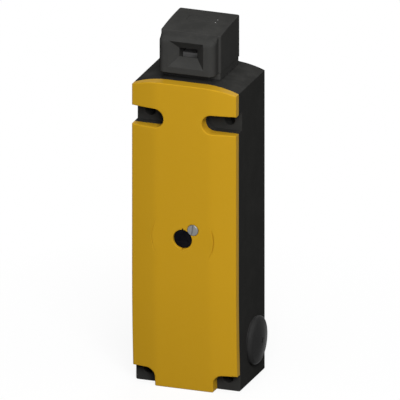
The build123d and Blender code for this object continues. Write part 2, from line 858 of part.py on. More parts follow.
def make_cam_wheel():
    """Cam wheel with a mouth for each tongue entry and a spiral groove for the plunger."""
    wheel = rod_x(cam_radius, (-cam_half_width, cam_half_width), 0, 0)
    half = tongue_half_width + cam_mouth_side
    mouth = tongue_height / 2 + cam_mouth_gap
    rise = (tongue_rise - mouth, tongue_rise + mouth)
    wheel -= block((-half, half), (-cam_radius - 1, -cam_hub_radius), rise)
    wheel -= block((-half, half), rise, (cam_hub_radius, cam_radius + 1))
    wheel -= along_x(groove_outline(cam_radius + 1), (-cam_groove_half_width, cam_groove_half_width))
    wheel -= rod_x(axle_radius + running, (-cam_half_width - 1, cam_half_width + 1), 0, 0)
    return Pos(0, cam_y, cam_z) * wheel


def make_cam_axle():
    """Steel pin that carries the cam wheel in the head's cheeks."""
    return rod_x(axle_radius, (-axle_half_length, axle_half_length), cam_y, cam_z)


def make_plunger():
    """Turned plunger: round nose under the cam, guided rod, neck with the locking collar."""
    half_blade = plunger_radius * plunger_blade_share
    blade = block((-half_blade, half_blade), (-plunger_nose_radius, plunger_nose_radius),
                  (rod_top_z - 1, nose_tip_z))
    blade += rod_x(plunger_nose_radius, (-half_blade, half_blade), 0, nose_tip_z)
    blade = blade & rod_z(plunger_radius, (rod_top_z - 2, nose_tip_z + 2 * plunger_nose_radius), 0, 0)
    plunger = rod_z(plunger_radius, (neck_high_z, rod_top_z), 0, 0) + blade
    plunger += rod_z(neck_radius, (plunger_low_z, neck_high_z), 0, 0)
    plunger += rod_z(collar_radius, (collar_low_z, collar_top_z), 0, 0)
    groove = rod_z(plunger_radius + 1, clip_span, 0, 0)
    plunger -= groove - rod_z(plunger_radius - clip_bite, wider(clip_span, 1), 0, 0)
    return Pos(0, cam_y, 0) * plunger


def make_plunger_clip():
    """Open retaining clip that takes the plunger spring's upper end."""
    clip = rod_z(clip_radius, clip_span, 0, 0)
    clip -= rod_z(plunger_radius - clip_bite, wider(clip_span, 1), 0, 0)
    clip -= block((-clip_gap_half, clip_gap_half), (-clip_radius - 1, 0), wider(clip_span, 1))
    return Pos(0, cam_y, 0) * clip


def make_plunger_guide():
    """Flanged bush in the body's top wall that guides the plunger."""
    bush = rod_z(guide_radius, (ceiling_z, body_height), 0, cam_y)
    bush += rod_z(guide_flange_radius, (ceiling_z - guide_flange_thickness, ceiling_z), 0, cam_y)
    bush -= rod_z(wiper_radius, (body_height - wiper_height, body_height + 1), 0, cam_y)
    bore = (ceiling_z - guide_flange_thickness - 1, body_height + 1)
    return bush - rod_z(plunger_radius + running, bore, 0, cam_y)


def make_plunger_seal():
    """Wiper ring round the plunger in the bush's counterbore."""
    ring = rod_z(wiper_radius, (body_height - wiper_height, body_height), 0, cam_y)
    return ring - rod_z(plunger_radius + running, (ceiling_z, body_height + 1), 0, cam_y)


def make_plunger_spring():
    """Spring between the frame's lug and the clip, which lifts the plunger into the cam."""
    seat = spring_seat_z + spring_seat_thickness
    return spring_z(plunger_spring_radius, plunger_wire, (seat, clip_z), 3, 0, cam_y)


def make_plunger_arm():
    """Moulded arm from the plunger's foot, down beside the solenoid to the contact block."""
    arm = block((push_rod_x[0], plunger_arm_ring), (cam_y - plunger_arm_half, cam_y + plunger_arm_half),
                (plunger_low_z, arm_top_z))
    arm += rod_z(plunger_arm_ring, (plunger_low_z, arm_top_z), 0, cam_y)
    arm -= rod_z(neck_radius, (plunger_low_z - 1, arm_top_z + 1), 0, cam_y)
    arm += block(push_rod_x, push_rod_y, (push_foot_low_z, arm_top_z - clear_gap))
    foot_end = contact_a_x + stem_radius + push_foot_end
    return arm + block((push_rod_x[0], foot_end), push_rod_y, (push_foot_low_z, push_foot_high_z))


def frame_screw_places():
    """Centres of the four screws that hold the mechanism's frame to the back wall."""
    low = [(side * frame_foot_screw_x, contact_a_z - frame_screw_drop) for side in (-1, 1)]
    high = [(side * frame_screw_x, lock_plate_z - frame_screw_drop) for side in (-1, 1)]
    return low + high


def make_mechanism_frame():
    """Sheet frame on the back wall, with a foot and a lug bent forward as the spring's seat."""
    y = (frame_face_y, inner_back_y)
    frame = block((-frame_half_width, frame_half_width), y, (frame_low_z, frame_high_z))
    frame = fillet(frame.edges().filter_by(Axis.Y), frame_corner_radius)
    foot = block((-frame_foot_half, frame_foot_half), y, (contact_a_z - frame_foot_drop, contact_a_z + 1))
    frame += foot
    seat = (spring_seat_z, spring_seat_z + spring_seat_thickness)
    frame += block((-spring_seat_half, spring_seat_half), y, (frame_high_z - 1, seat[1]))
    frame += block((-spring_seat_half, spring_seat_half), (cam_y - spring_seat_reach, frame_face_y), seat)
    frame -= rod_z(plunger_radius + plunger_hole_gap, (seat[0] - 1, seat[1] + 1), 0, cam_y)
    for x, z in frame_screw_places():
        frame -= rod_y(frame_screw_radius + screw_hole_gap, (frame_face_y - 1, inner_back_y + 1), x, z)
    return frame


def make_frame_screws():
    """Four pan-head screws through the frame into the back wall."""
    screws = []
    for x, z in frame_screw_places():
        shank = rod_y(frame_screw_radius, (frame_face_y, back_y - frame_screw_skin), x, z)
        head = (frame_face_y - frame_screw_head_height, frame_face_y)
        screws.append(shank + rod_y(frame_screw_head_radius, head, x, z))
    return Compound(screws)


def make_solenoid_yoke():
    """Closed iron frame round the coil, bored for the armature and for the fixed core."""
    x = (solenoid_left_x, solenoid_right_x)
    y = (guide_back_y, frame_face_y)
    coil_z = (solenoid_z - coil_space_half, solenoid_z + coil_space_half)
    yoke = block(x, y, (solenoid_low_z, solenoid_high_z))
    yoke -= block(coil_space_x, wider(y, 1), coil_z)
    yoke -= rod_x(armature_radius + armature_gap, (coil_space_x[1] - 1, x[1] + 1), solenoid_y, solenoid_z)
    return yoke - rod_x(core_rivet_radius, (x[0] - 1, coil_space_x[0] + 1), solenoid_y, solenoid_z)


def make_solenoid_bobbin():
    """Flanged tube that the coil is wound on and the armature runs in."""
    bobbin = rod_x(bobbin_tube_radius, coil_space_x, solenoid_y, solenoid_z)
    flange_radius = coil_space_half - bobbin_gap
    for start in (coil_space_x[0], coil_space_x[1] - bobbin_flange):
        bobbin += rod_x(flange_radius, (start, start + bobbin_flange), solenoid_y, solenoid_z)
    return bobbin - rod_x(armature_radius + armature_gap, wider(coil_space_x, 1), solenoid_y, solenoid_z)


def make_solenoid_coil():
    """Winding between the bobbin's flanges."""
    span = wider(coil_space_x, -bobbin_flange)
    coil = rod_x(coil_space_half - coil_gap, span, solenoid_y, solenoid_z)
    return coil - rod_x(bobbin_tube_radius, wider(span, 1), solenoid_y, solenoid_z)


def make_solenoid_core():
    """Fixed pole piece riveted into the yoke."""
    core = rod_x(armature_radius, (coil_space_x[0], core_face_x), solenoid_y, solenoid_z)
    return core + rod_x(core_rivet_radius, (solenoid_left_x, coil_space_x[0]), solenoid_y, solenoid_z)


def make_armature():
    """Moving iron, hollow for its return spring, with a riveted pin at its outer end."""
    armature = rod_x(armature_radius, (armature_left_x, link_x), solenoid_y, solenoid_z)
    pin_end = link_x + link_thickness + armature_pin_rivet
    armature += rod_x(armature_pin_radius, (link_x, pin_end), solenoid_y, solenoid_z)
    return armature - rod_x(armature_bore_radius, (armature_left_x - 1, armature_bore_end_x),
                            solenoid_y, solenoid_z)


def make_armature_spring():
    """Return spring between the fixed core and the armature."""
    length = armature_bore_end_x - core_face_x
    coil = spring_z(armature_spring_radius, spring_wire, (0, length), 5, 0, 0)
    return Pos(core_face_x, solenoid_y, solenoid_z) * Rot(0, 90, 0) * coil


def make_armature_link():
    """Link on the armature: a fork for the locking plate's tab and a leg for the lock contact."""
    y = (solenoid_y - link_half_depth, solenoid_y + link_half_depth)
    contact_z = contact_b_z + contact_width / 2
    floor_z = fork_low_z + fork_floor
    x = (link_x, link_x + link_thickness)
    link = block(x, y, (contact_z - link_leg, floor_z))
    link -= rod_x(armature_pin_radius, wider(x, 1), solenoid_y, solenoid_z)
    near = (tab_x - slide_gap - prong_thickness, tab_x - slide_gap)
    far = (tab_right_x + slide_gap, tab_right_x + slide_gap + prong_thickness)
    link += block((near[0], far[1]), y, (fork_low_z, floor_z))
    for prong in (near, far):
        link += block(prong, y, (fork_low_z, fork_low_z + fork_height))
    return link


def make_lock_plate():
    """Sliding steel plate whose keyhole passes the collar, or blocks it once it has moved."""
    z = (lock_plate_z, lock_plate_top_z)
    y = (cam_y - lock_plate_half_depth, cam_y + lock_plate_half_depth)
    plate = block((-lock_plate_left, tab_right_x), y, z)
    plate = fillet(plate.edges().filter_by(Axis.Z), lock_plate_corner)
    plate -= rod_z(collar_radius + lock_gap, wider(z, 1), 0, cam_y)
    plate -= block((0, lock_travel), (cam_y - lock_slot_half, cam_y + lock_slot_half), wider(z, 1))
    plate -= rod_z(lock_slot_half, wider(z, 1), lock_travel, cam_y)
    tab_y = (solenoid_y - link_half_depth, solenoid_y + link_half_depth)
    return plate + block((tab_x, tab_right_x), tab_y, (lock_plate_z - lock_tab_length, z[1]))


def make_release_carriage():
    """Carriage that holds the locking plate and is lowered by the release cam."""
    carriage = block((-carriage_half_width, carriage_half_width), carriage_bar_y,
                     (carriage_low_z, carriage_top_z))
    nose_low_z = follower_z - follower_nose_radius
    carriage -= block((-window_half, window_half), wider(carriage_bar_y, 1),
                      (nose_low_z, release_z + window_rise))
    carriage += block((-follower_nose_radius, follower_nose_radius), carriage_bar_y,
                      (nose_low_z - clear_gap, follower_z))
    carriage += rod_y(follower_nose_radius, carriage_bar_y, 0, follower_z)
    roof_z = lock_plate_top_z + plate_roof_gap
    lip_top_z = lock_plate_z - slide_gap
    lip = (lip_top_z - lip_thickness, lip_top_z)
    front_edge = cam_y - lock_plate_half_depth - slide_gap
    back_edge = cam_y + lock_plate_half_depth + slide_gap
    back_end = back_edge + carriage_bridge
    lip_x = (carriage_x[0], carriage_half_width)
    carriage += block(carriage_x, (carriage_back_y, back_end), (roof_z, carriage_top_z))
    carriage += block(lip_x, (carriage_back_y - clear_gap, front_edge), (lip[0], roof_z + clear_gap))
    carriage += block(lip_x, (front_edge - 0.1, front_edge + lip_reach), lip)
    carriage += block(carriage_x, (back_edge, back_end), (lip[0], roof_z + clear_gap))
    carriage += block(carriage_x, (back_edge - lip_reach, back_edge + 0.1), lip)
    hole = (roof_z - 1, carriage_top_z + 1)
    return carriage - rod_z(collar_radius + carriage_collar_gap, hole, 0, cam_y)


def make_carriage_guide():
    """Channel on the solenoid's front that guides the carriage and seats its spring."""
    inner = carriage_half_width + slide_gap
    outer = inner + guide_rail
    rail_front = carriage_front_y - slide_gap
    guide = block((-outer, outer), (guide_front_y, guide_back_y), guide_z)
    guide -= rod_y(guide_hole_radius, (guide_front_y - 1, guide_back_y + 1), 0, release_z)
    for side in (-1, 1):
        rail = sorted((side * inner, side * outer))
        guide += block(rail, (rail_front, guide_front_y), guide_z)
        lip = sorted((side * (inner - lip_reach), side * outer))
        guide += block(lip, (rail_front - guide_lip, rail_front), (solenoid_low_z, guide_z[1]))
    foot = (guide_z[0], guide_z[0] + guide_foot_height)
    return guide + block((-outer, outer), (carriage_front_y, guide_front_y), foot)


def make_carriage_spring():
    """Spring that lifts the carriage back when the release is turned home."""
    middle = (carriage_front_y + carriage_back_y) / 2
    return spring_z(carriage_spring_radius, spring_wire, (guide_z[0] + guide_foot_height, carriage_low_z),
                    3, 0, middle)


def make_release_actuator():
    """Release disc with a triangular key socket, and its shaft."""
    disc = rod_y(disc_radius, (disc_front_y, disc_back_y), 0, release_z)
    rim = disc.faces().sort_by(Axis.Y)[0].edges()
    disc = fillet(rim, disc_round)
    key = Plane.XZ * RegularPolygon(radius=key_radius, side_count=3, rotation=90)
    disc -= Pos(0, disc_front_y + key_depth, release_z) * extrude(key, amount=2 * key_depth)
    for side in (-1, 1):
        mark = sorted((release_z + side * disc_mark_inner, release_z + side * (disc_radius + 1)))
        disc -= block((-disc_mark_half, disc_mark_half), (disc_front_y - 1, disc_front_y + disc_mark_depth),
                      mark)
    shaft_end = carriage_front_y - release_shaft_gap
    disc += rod_y(release_shaft_radius, (disc_back_y, shaft_end), 0, release_z)
    return disc + rod_y(release_pin_radius, (shaft_end, carriage_back_y - slide_gap), 0, release_z)


def make_release_seal():
    """Sealing ring under the release disc."""
    ring = rod_y(release_seal_radius, (disc_back_y, release_seal_back_y), 0, release_z)
    return ring - rod_y(release_shaft_radius + running, (disc_back_y - 1, front_y), 0, release_z)


def make_release_cam():
    """Snail cam on the release shaft; turned a quarter it lowers the carriage."""
    span = (carriage_front_y + slide_gap, carriage_back_y - slide_gap)
    cam = along_y(Pos(0, release_z) * snail_outline(), span)
    return cam - rod_y(release_pin_radius, wider(span, 1), 0, release_z)


def contact_housing():
    """Contact block drawn with its travel along Z and its open side to the front."""
    half = contact_width / 2
    body = block((-half, half), (-contact_depth, 0), (0, contact_length))
    body = fillet(body.edges().filter_by(Axis.Z), contact_corner)
    inner = half - contact_wall
    body -= block((-inner, inner), (-contact_depth - 1, -contact_wall),
                  (contact_wall, contact_length - contact_wall))
    for side in (-1, 1):
        slit = sorted((side * (inner - 1), side * (half + 1)))
        body -= block(slit, (-contact_axis - bar_half_width, -contact_axis + bar_half_width),
                      (contact_bar_z, contact_bar_z + bar_thickness + slide_gap))
    return body - rod_z(stem_radius + running, (contact_length - contact_wall - 1, contact_length + 1),
                        0, -contact_axis)


def contact_carrier(travel, raised, reach):
    """Plastic plunger of a contact block: stem, body and a window for the bridge."""
    top = contact_length - contact_wall - stem_gap - travel + raised
    low = contact_wall + contact_spring_pressed + raised
    depth = (-contact_axis - carrier_half, -contact_axis + carrier_half)
    carrier = rod_z(stem_radius, (top - 1, reach), 0, -contact_axis)
    carrier += block((-carrier_half, carrier_half), depth, (low, top))
    window_z = contact_bar_z - bridge_gap - travel + raised
    return carrier - block((-carrier_half - 1, carrier_half + 1),
                           (-contact_axis - bridge_half_width, -contact_axis + bridge_half_width),
                           (window_z, window_z + bridge_window))


def contact_bridge(travel, raised):
    """Moving contact bridge with a silver button at each end."""
    low = contact_bar_z - bridge_gap - travel + raised
    top = low + bridge_thickness
    bridge = block((-bridge_half_length, bridge_half_length),
                   (-contact_axis - bridge_half_width, -contact_axis + bridge_half_width), (low, top))
    for side in (-1, 1):
        bridge += rod_z(button_radius, (top, top + button_height), side * button_x, -contact_axis)
    return bridge


def contact_fixed():
    """Two fixed contact bars, each through a side wall and bent down outside as a tail."""
    half = contact_width / 2
    depth = (-contact_axis - bar_half_width, -contact_axis + bar_half_width)
    top = contact_bar_z + bar_thickness
    bars = []
    for side in (-1, 1):
        bar = block(sorted((side * bar_inner_x, side * (half + bar_thickness))), depth, (contact_bar_z, top))
        tail = block(sorted((side * half, side * (half + bar_thickness))), depth,
                     (contact_bar_z - bar_tail, top))
        bars.append(bar + tail)
    return bars


def contact_spring(raised):
    """Return spring under the carrier."""
    return spring_z(contact_spring_radius, spring_wire,
                    (contact_wall, contact_wall + contact_spring_pressed + raised), 2, 0, -contact_axis)


def place_tongue_contact(solid):
    """Stand a contact block upright under the plunger's arm."""
    return Pos(contact_a_x, frame_face_y, contact_a_z) * solid


def place_lock_contact(solid):
    """Lay a contact block on its side under the solenoid, its stem pointing right."""
    turned = Rot(0, 90, 0) * solid
    return Pos(contact_b_x, frame_face_y, contact_b_z + contact_width / 2) * turned


def terminal_places():
    """Centres of the terminals, seen from the front."""
    heights = [contact_a_z + terminal_first + terminal_pitch * i for i in range(terminal_count)]
    left = terminal_left_x + terminal_column_inset
    return [(x, z) for z in heights for x in (left, left + terminal_column_pitch)]


def make_terminal_block():
    """Terminal block with a grid of wire chambers open to the front."""
    body = block(terminal_x, (terminal_front_y, frame_face_y), (contact_a_z, contact_a_z + contact_length))
    body = fillet(body.edges().filter_by(Axis.Y), terminal_corner)
    for x, z in terminal_places():
        body -= block((x - chamber_half_width, x + chamber_half_width),
                      (terminal_front_y - 1, chamber_floor_y),
                      (z - chamber_half_height, z + chamber_half_height))
    return body


def make_terminal_clamps():
    """Wire clamps at the bottom of the chambers."""
    half_width_gap = chamber_half_width - clamp_gap
    half_height_gap = chamber_half_height - slide_gap
    clamps = [block((x - half_width_gap, x + half_width_gap),
                    (chamber_floor_y - clamp_thickness, chamber_floor_y),
                    (z - half_height_gap, z + half_height_gap)) for x, z in terminal_places()]
    return Compound(clamps)


def make_terminal_screws():
    """Slotted clamp screws of the terminals."""
    seat = chamber_floor_y - clamp_thickness
    front = seat - terminal_screw_height
    screws = []
    for x, z in terminal_places():
        slot = block((x - terminal_slot_half, x + terminal_slot_half),
                     (front - 1, front + terminal_slot_depth),
                     (z - terminal_screw_radius - 1, z + terminal_screw_radius + 1))
        screws.append(rod_y(terminal_screw_radius, (front, seat), x, z) - slot)
    return Compound(screws)


def make_plug(side):
    """Blanking plug of a side entry: domed head with a rounded rim, and a hollow shank."""
    rim = plug_rim_height
    top = rim + plug_dome_height
    inner = plug_radius - plug_rim_round
    turned_in = plug_rim_round * (1 - math.sqrt(0.5))
    profile = closed(
        Line((0, 0), (plug_radius, 0)),
        Line((plug_radius, 0), (plug_radius, rim - plug_rim_round)),
        ThreePointArc((plug_radius, rim - plug_rim_round), (plug_radius - turned_in, rim - turned_in),
                      (inner, rim)),
        ThreePointArc((inner, rim), (plug_radius * 0.55, rim + plug_dome_height * 0.7), (0, top)),
        Line((0, top), (0, 0)),
    )
    head = revolve(Plane.XZ * profile, axis=Axis.Z)
    for turn in (0, 90):
        head -= Rot(0, 0, turn + plug_key_turn) * block(
            (-plug_key_half_length, plug_key_half_length), (-plug_key_half_width, plug_key_half_width),
            (top - plug_key_depth, top + 1))
    shank_end = clear_gap - plug_seal_thickness - side_entry_boss_length
    shank = rod_z(entry_radius, (shank_end, 0), 0, 0)
    shank -= rod_z(entry_radius - plug_shank_wall, (shank_end - 1, -plug_seal_thickness * 2), 0, 0)
    turned = Rot(0, 90 * side, 0) * (head + shank)
    return Pos(side * plug_seat_x, entry_y, side_entry_z) * turned


def make_plug_seals():
    """Flat sealing rings under both plugs."""
    seals = []
    for side in (-1, 1):
        span = sorted((side * half_width, side * plug_seat_x))
        ring = rod_x(plug_radius - plug_seal_inset, span, entry_y, side_entry_z)
        seals.append(ring - rod_x(entry_radius, wider(span, 1), entry_y, side_entry_z))
    return Compound(seals)


contact_a_reach = push_foot_low_z - contact_a_z
contact_b_reach = link_x - contact_b_x

pieces = {
    "housing": make_housing(),
    "front_cover": make_front_cover(),
    "cover_gasket": make_cover_gasket(),
    "cover_screw": make_cover_screw(),
    "head_housing": make_head_housing(),
    "head_nose": make_head_nose(),
    "head_base": make_head_base(),
    "head_gasket": make_head_gasket(),
    "head_screws": make_head_screws(),
    "top_slot_plug": make_top_slot_plug(),
    "cam_wheel": make_cam_wheel(),
    "cam_axle": make_cam_axle(),
    "plunger": make_plunger(),
    "plunger_clip": make_plunger_clip(),
    "plunger_guide": make_plunger_guide(),
    "plunger_seal": make_plunger_seal(),
    "plunger_spring": make_plunger_spring(),
    "plunger_arm": make_plunger_arm(),
    "mechanism_frame": make_mechanism_frame(),
    "frame_screws": make_frame_screws(),
    "solenoid_yoke": make_solenoid_yoke(),
    "solenoid_bobbin": make_solenoid_bobbin(),
    "solenoid_coil": make_solenoid_coil(),
    "solenoid_core": make_solenoid_core(),
    "armature": make_armature(),
    "armature_spring": make_armature_spring(),
    "armature_link": make_armature_link(),
    "lock_plate": make_lock_plate(),
    "release_carriage": make_release_carriage(),
    "carriage_guide": make_carriage_guide(),
    "carriage_spring": make_carriage_spring(),
    "release_actuator": make_release_actuator(),
    "release_seal": make_release_seal(),
    "release_cam": make_release_cam(),
    "tongue_contact_housing": place_tongue_contact(contact_housing()),
    "tongue_contact_carrier": place_tongue_contact(contact_carrier(plunger_lift, 0, contact_a_reach)),
    "tongue_contact_bridge": place_tongue_contact(contact_bridge(plunger_lift, 0)),
    "tongue_contact_bars": Compound([place_tongue_contact(bar) for bar in contact_fixed()]),
    "tongue_contact_spring": place_tongue_contact(contact_spring(0)),
    "lock_contact_housing": place_lock_contact(contact_housing()),
    "lock_contact_carrier": place_lock_contact(contact_carrier(lock_travel, lock_travel, contact_b_reach)),
    "lock_contact_bridge": place_lock_contact(contact_bridge(lock_travel, lock_travel)),
    "lock_contact_bars": Compound([place_lock_contact(bar) for bar in contact_fixed()]),
    "lock_contact_spring": place_lock_contact(contact_spring(lock_travel)),
    "terminal_block": make_terminal_block(),
    "terminal_clamps": make_terminal_clamps(),
    "terminal_screws": make_terminal_screws(),
    "right_plug": make_plug(1),
    "left_plug": make_plug(-1),
    "plug_seals": make_plug_seals(),
}

for name, piece in pieces.items():
    export_step(piece, f"parts/{name}.step")
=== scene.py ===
"""Looks of a tongue interlock switch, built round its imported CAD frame.

Sizes are written in millimetres and turned into metres where a mesh is made. The frame is the
CAD's: X runs across the yellow cover, +Y points to the mounting face, and Z runs up to the head.
"""

from __future__ import annotations

import logging
import math
from dataclasses import dataclass, field
from enum import Enum
from typing import Callable, ClassVar, Iterable, Sequence

import bmesh
import bpy
import numpy as np
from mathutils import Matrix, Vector
from mathutils.geometry import delaunay_2d_cdt

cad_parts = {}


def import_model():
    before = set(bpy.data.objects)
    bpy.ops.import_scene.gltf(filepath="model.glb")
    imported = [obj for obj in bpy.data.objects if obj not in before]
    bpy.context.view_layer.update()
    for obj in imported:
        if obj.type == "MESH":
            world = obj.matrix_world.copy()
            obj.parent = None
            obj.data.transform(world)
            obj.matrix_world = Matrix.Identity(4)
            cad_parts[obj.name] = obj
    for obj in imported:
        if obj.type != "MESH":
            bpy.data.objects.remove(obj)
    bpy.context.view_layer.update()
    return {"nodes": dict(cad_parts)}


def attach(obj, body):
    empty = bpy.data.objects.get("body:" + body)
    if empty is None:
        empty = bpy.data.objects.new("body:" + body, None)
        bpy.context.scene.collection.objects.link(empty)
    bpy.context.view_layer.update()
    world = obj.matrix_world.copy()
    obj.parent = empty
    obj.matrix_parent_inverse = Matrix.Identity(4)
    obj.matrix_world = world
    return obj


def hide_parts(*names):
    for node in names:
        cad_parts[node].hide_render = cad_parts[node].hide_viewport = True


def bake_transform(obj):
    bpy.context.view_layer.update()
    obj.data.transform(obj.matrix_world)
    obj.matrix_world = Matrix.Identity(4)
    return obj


Object = bpy.types.Object
Node = bpy.types.Node
Socket = bpy.types.NodeSocket
Point = tuple[float, float]
Loop = list[Point]
Space = tuple[float, float, float]
Colour = tuple[float, float, float]
Height = Callable[[float, float], float]
Surface = tuple[dict, Socket, float]

LOG = logging.getLogger("interlock_switch")
MM = 0.001
HARD_ANGLE = 30.0  # an edge that turns by more degrees stays hard
MERGE = 0.002  # points nearer to each other become one
SLIVER = 0.001  # shorter edges are dissolved
PAST = 1.0  # how far a cutter reaches past the surface that it cuts
FLAT_WEIGHT = 80  # how strongly large faces pull the normals of the rounded edges beside them
UPWARD: Space = (0.0, 0.0, 1.0)
BACKWARD: Space = (0.0, 1.0, 0.0)
CORNERS = ((-1, -1), (1, -1), (1, 1), (-1, 1))


class Facing(Enum):
    """The direction in which a slab's height grows."""

    FRONT = "front"
    UP = "up"


class Side(Enum):
    """Left or right of the switch, as seen from its front."""

    LEFT = -1
    RIGHT = 1


class Grain(Enum):
    """How a metal surface was finished, as the scale of its marks along the three axes."""

    TURNED = (1.0, 1.0, 0.06)
    ROLLED = (0.06, 1.0, 1.0)
    CAST = (0.5, 0.5, 0.5)


# Outlines


def arc(centre: Point, radius: float, start: float, end: float, step: float) -> Loop:
    """Points along an arc.

    Args:
        centre: The arc's centre.
        radius: Its radius.
        start: First angle in degrees, from the first axis.
        end: Last angle in degrees; smaller than start for a clockwise arc.
        step: Longest chord.

    Returns:
        The points, both ends included.
    """
    turn = math.radians(end - start)
    count = max(6, math.ceil(abs(turn) * radius / step))
    first = math.radians(start)
    angles = [first + turn * i / count for i in range(count + 1)]
    return [(centre[0] + radius * math.cos(a), centre[1] + radius * math.sin(a)) for a in angles]


def dense(loop: Sequence[Point], step: float) -> Loop:
    """A closed loop with its long runs divided and repeated points left out.

    Args:
        loop: Corners in order.
        step: Longest run that stays whole.

    Returns:
        The divided loop.
    """
    made: Loop = []
    for (x0, y0), (x1, y1) in zip(loop, [*loop[1:], loop[0]]):
        length = math.hypot(x1 - x0, y1 - y0)
        if length < 1e-4:
            continue
        parts = max(1, math.ceil(length / step))
        made += [(x0 + (x1 - x0) * i / parts, y0 + (y1 - y0) * i / parts) for i in range(parts)]
    return made


def rounded_rectangle(low: Point, high: Point, radii: Sequence[float], step: float) -> Loop:
    """Rectangle with a radius at each corner.

    Args:
        low: Its lowest corner.
        high: Its highest corner.
        radii: Radii at the low-low, high-low, high-high and low-high corners.
        step: Longest run between two points.

    Returns:
        The counter-clockwise loop.
    """
    made: Loop = []
    for i, ((sx, sy), radius) in enumerate(zip(CORNERS, radii)):
        x, y = (high if sx > 0 else low)[0], (high if sy > 0 else low)[1]
        start = 180 + 90 * i
        made += arc((x - sx * radius, y - sy * radius), radius, start, start + 90, 0.25)
    return dense(made, step)


def turned_rectangle(centre: Point, half: Point, degrees: float) -> Loop:
    """Corners of a rectangle turned about its centre.

    Args:
        centre: Its centre.
        half: Half its first side and half its second.
        degrees: Angle of its first side from the first axis.

    Returns:
        The counter-clockwise corners.
    """
    cos, sin = math.cos(math.radians(degrees)), math.sin(math.radians(degrees))
    along, across = Vector((cos, sin)), Vector((-sin, cos))
    corners = [along * (a * half[0]) + across * (b * half[1]) for a, b in CORNERS]
    return [(centre[0] + c.x, centre[1] + c.y) for c in corners]


def mirrored(loop: Sequence[Point]) -> Loop:
    """The loop mirrored left to right, still counter-clockwise."""
    return [(-x, y) for x, y in reversed(loop)]


def moved_in(loop: Sequence[Point], distances: Sequence[float]) -> Loop:
    """Each point of a counter-clockwise loop moved inwards by its own distance.

    Args:
        loop: The closed loop.
        distances: How far each point moves.

    Returns:
        The inner loop, with the same number of points.
    """
    made: Loop = []
    for i, (x, y) in enumerate(loop):
        before, here, after = Vector(loop[i - 1]), Vector((x, y)), Vector(loop[(i + 1) % len(loop)])
        first, second = (here - before).normalized(), (after - here).normalized()
        normal = Vector((-first.y - second.y, first.x + second.x))
        normal.normalize()
        reach = distances[i] / max(0.4, normal.dot(Vector((-first.y, first.x))))
        made.append((x + normal.x * reach, y + normal.y * reach))
    return made


def inside(points: np.ndarray, loop: Sequence[Point]) -> np.ndarray:
    """Which points lie inside a closed loop.

    Args:
        points: Rows of two coordinates.
        loop: The loop's corners.

    Returns:
        One truth value per point.
    """
    a = np.array(loop, float)
    b = np.roll(a, -1, axis=0)
    x, y = points[:, 0:1], points[:, 1:2]
    crosses = (a[:, 1] > y) != (b[:, 1] > y)
    rise = b[:, 1] - a[:, 1]
    rise = np.where(np.abs(rise) < 1e-12, 1e-12, rise)
    at = (b[:, 0] - a[:, 0]) * (y - a[:, 1]) / rise + a[:, 0]
    return (np.sum(crosses & (x < at), axis=1) % 2) == 1


def level(value: float) -> Height:
    """A height or a radius that is the same everywhere."""
    return lambda u, v: value


# Profiles for turned pieces: points of radius and height


def turned_face(radius: float) -> Loop:
    """Flat face and its rounded edge, from the axis outwards."""
    edge = ((0.35, 0.0), (0.18, 0.05), (0.05, 0.18), (0.0, 0.35))
    return [(0.0, 0.0), *((radius - inwards, height) for inwards, height in edge)]


def thread(root: float, crest: float, start: float, pitch: float, turns: int) -> Loop:
    """Thread as closed rings.

    Args:
        root: Radius where each ring starts.
        crest: Radius half a pitch further.
        start: Height of the first ring.
        pitch: Distance between the rings.
        turns: How many rings there are.

    Returns:
        The points.
    """
    starts = [start + i * pitch for i in range(turns)]
    return [point for s in starts for point in ((root, s), (crest, s + pitch / 2))]


# Meshes


def linked(name: str, data: bpy.types.ID) -> Object:
    """New object with its data, linked to the scene."""
    obj = bpy.data.objects.new(name, data)
    bpy.context.scene.collection.objects.link(obj)
    return obj


def soften(data: bpy.types.Mesh) -> None:
    """Smooth shading between hard edges."""
    data.polygons.foreach_set("use_smooth", [True] * len(data.polygons))
    data.set_sharp_from_angle(angle=math.radians(HARD_ANGLE))


@dataclass
class Mesh:
    """Points and faces of one mesh, in millimetres, before it becomes an object."""

    points: list[Space] = field(default_factory=list)
    faces: list[list[int]] = field(default_factory=list)

    def ring(self, points: Iterable[Space]) -> list[int]:
        """Adds points and returns their numbers."""
        start = len(self.points)
        self.points.extend(points)
        return list(range(start, len(self.points)))

    def join(self, rings: Sequence[list[int]]) -> None:
        """Joins each ring to the next, of the same length, with a closed band of faces."""
        for first, second in zip(rings, rings[1:]):
            for i in range(len(first)):
                j = (i + 1) % len(first)
                self.faces.append([first[i], first[j], second[j], second[i]])

    def turned(self, axis: Space, at: Space) -> Mesh:
        """Turns its Z axis to a direction, moves its origin to a point and returns it."""
        turn = Vector(UPWARD).rotation_difference(Vector(axis)).to_matrix()
        self.points = [tuple(turn @ Vector(p) + Vector(at)) for p in self.points]
        return self

    def build(self, name: str) -> Object:
        """Makes the object: coincident points merged, normals outward, hard edges kept.

        Args:
            name: The object's name.

        Returns:
            The new object, linked to the scene.
        """
        bm = bmesh.new()
        made = [bm.verts.new([c * MM for c in p]) for p in self.points]
        for face in self.faces:
            corners = [made[i] for i in dict.fromkeys(face)]
            if len(corners) > 2 and bm.faces.get(corners) is None:
                bm.faces.new(corners)
        bmesh.ops.remove_doubles(bm, verts=bm.verts, dist=MERGE * MM)
        bmesh.ops.dissolve_degenerate(bm, edges=bm.edges, dist=SLIVER * MM)
        loose = [v for v in bm.verts if not v.link_faces]
        bmesh.ops.delete(bm, geom=loose, context="VERTS")
        bmesh.ops.recalc_face_normals(bm, faces=bm.faces)
        data = bpy.data.meshes.new(name)
        bm.to_mesh(data)
        bm.free()
        soften(data)
        return linked(name, data)


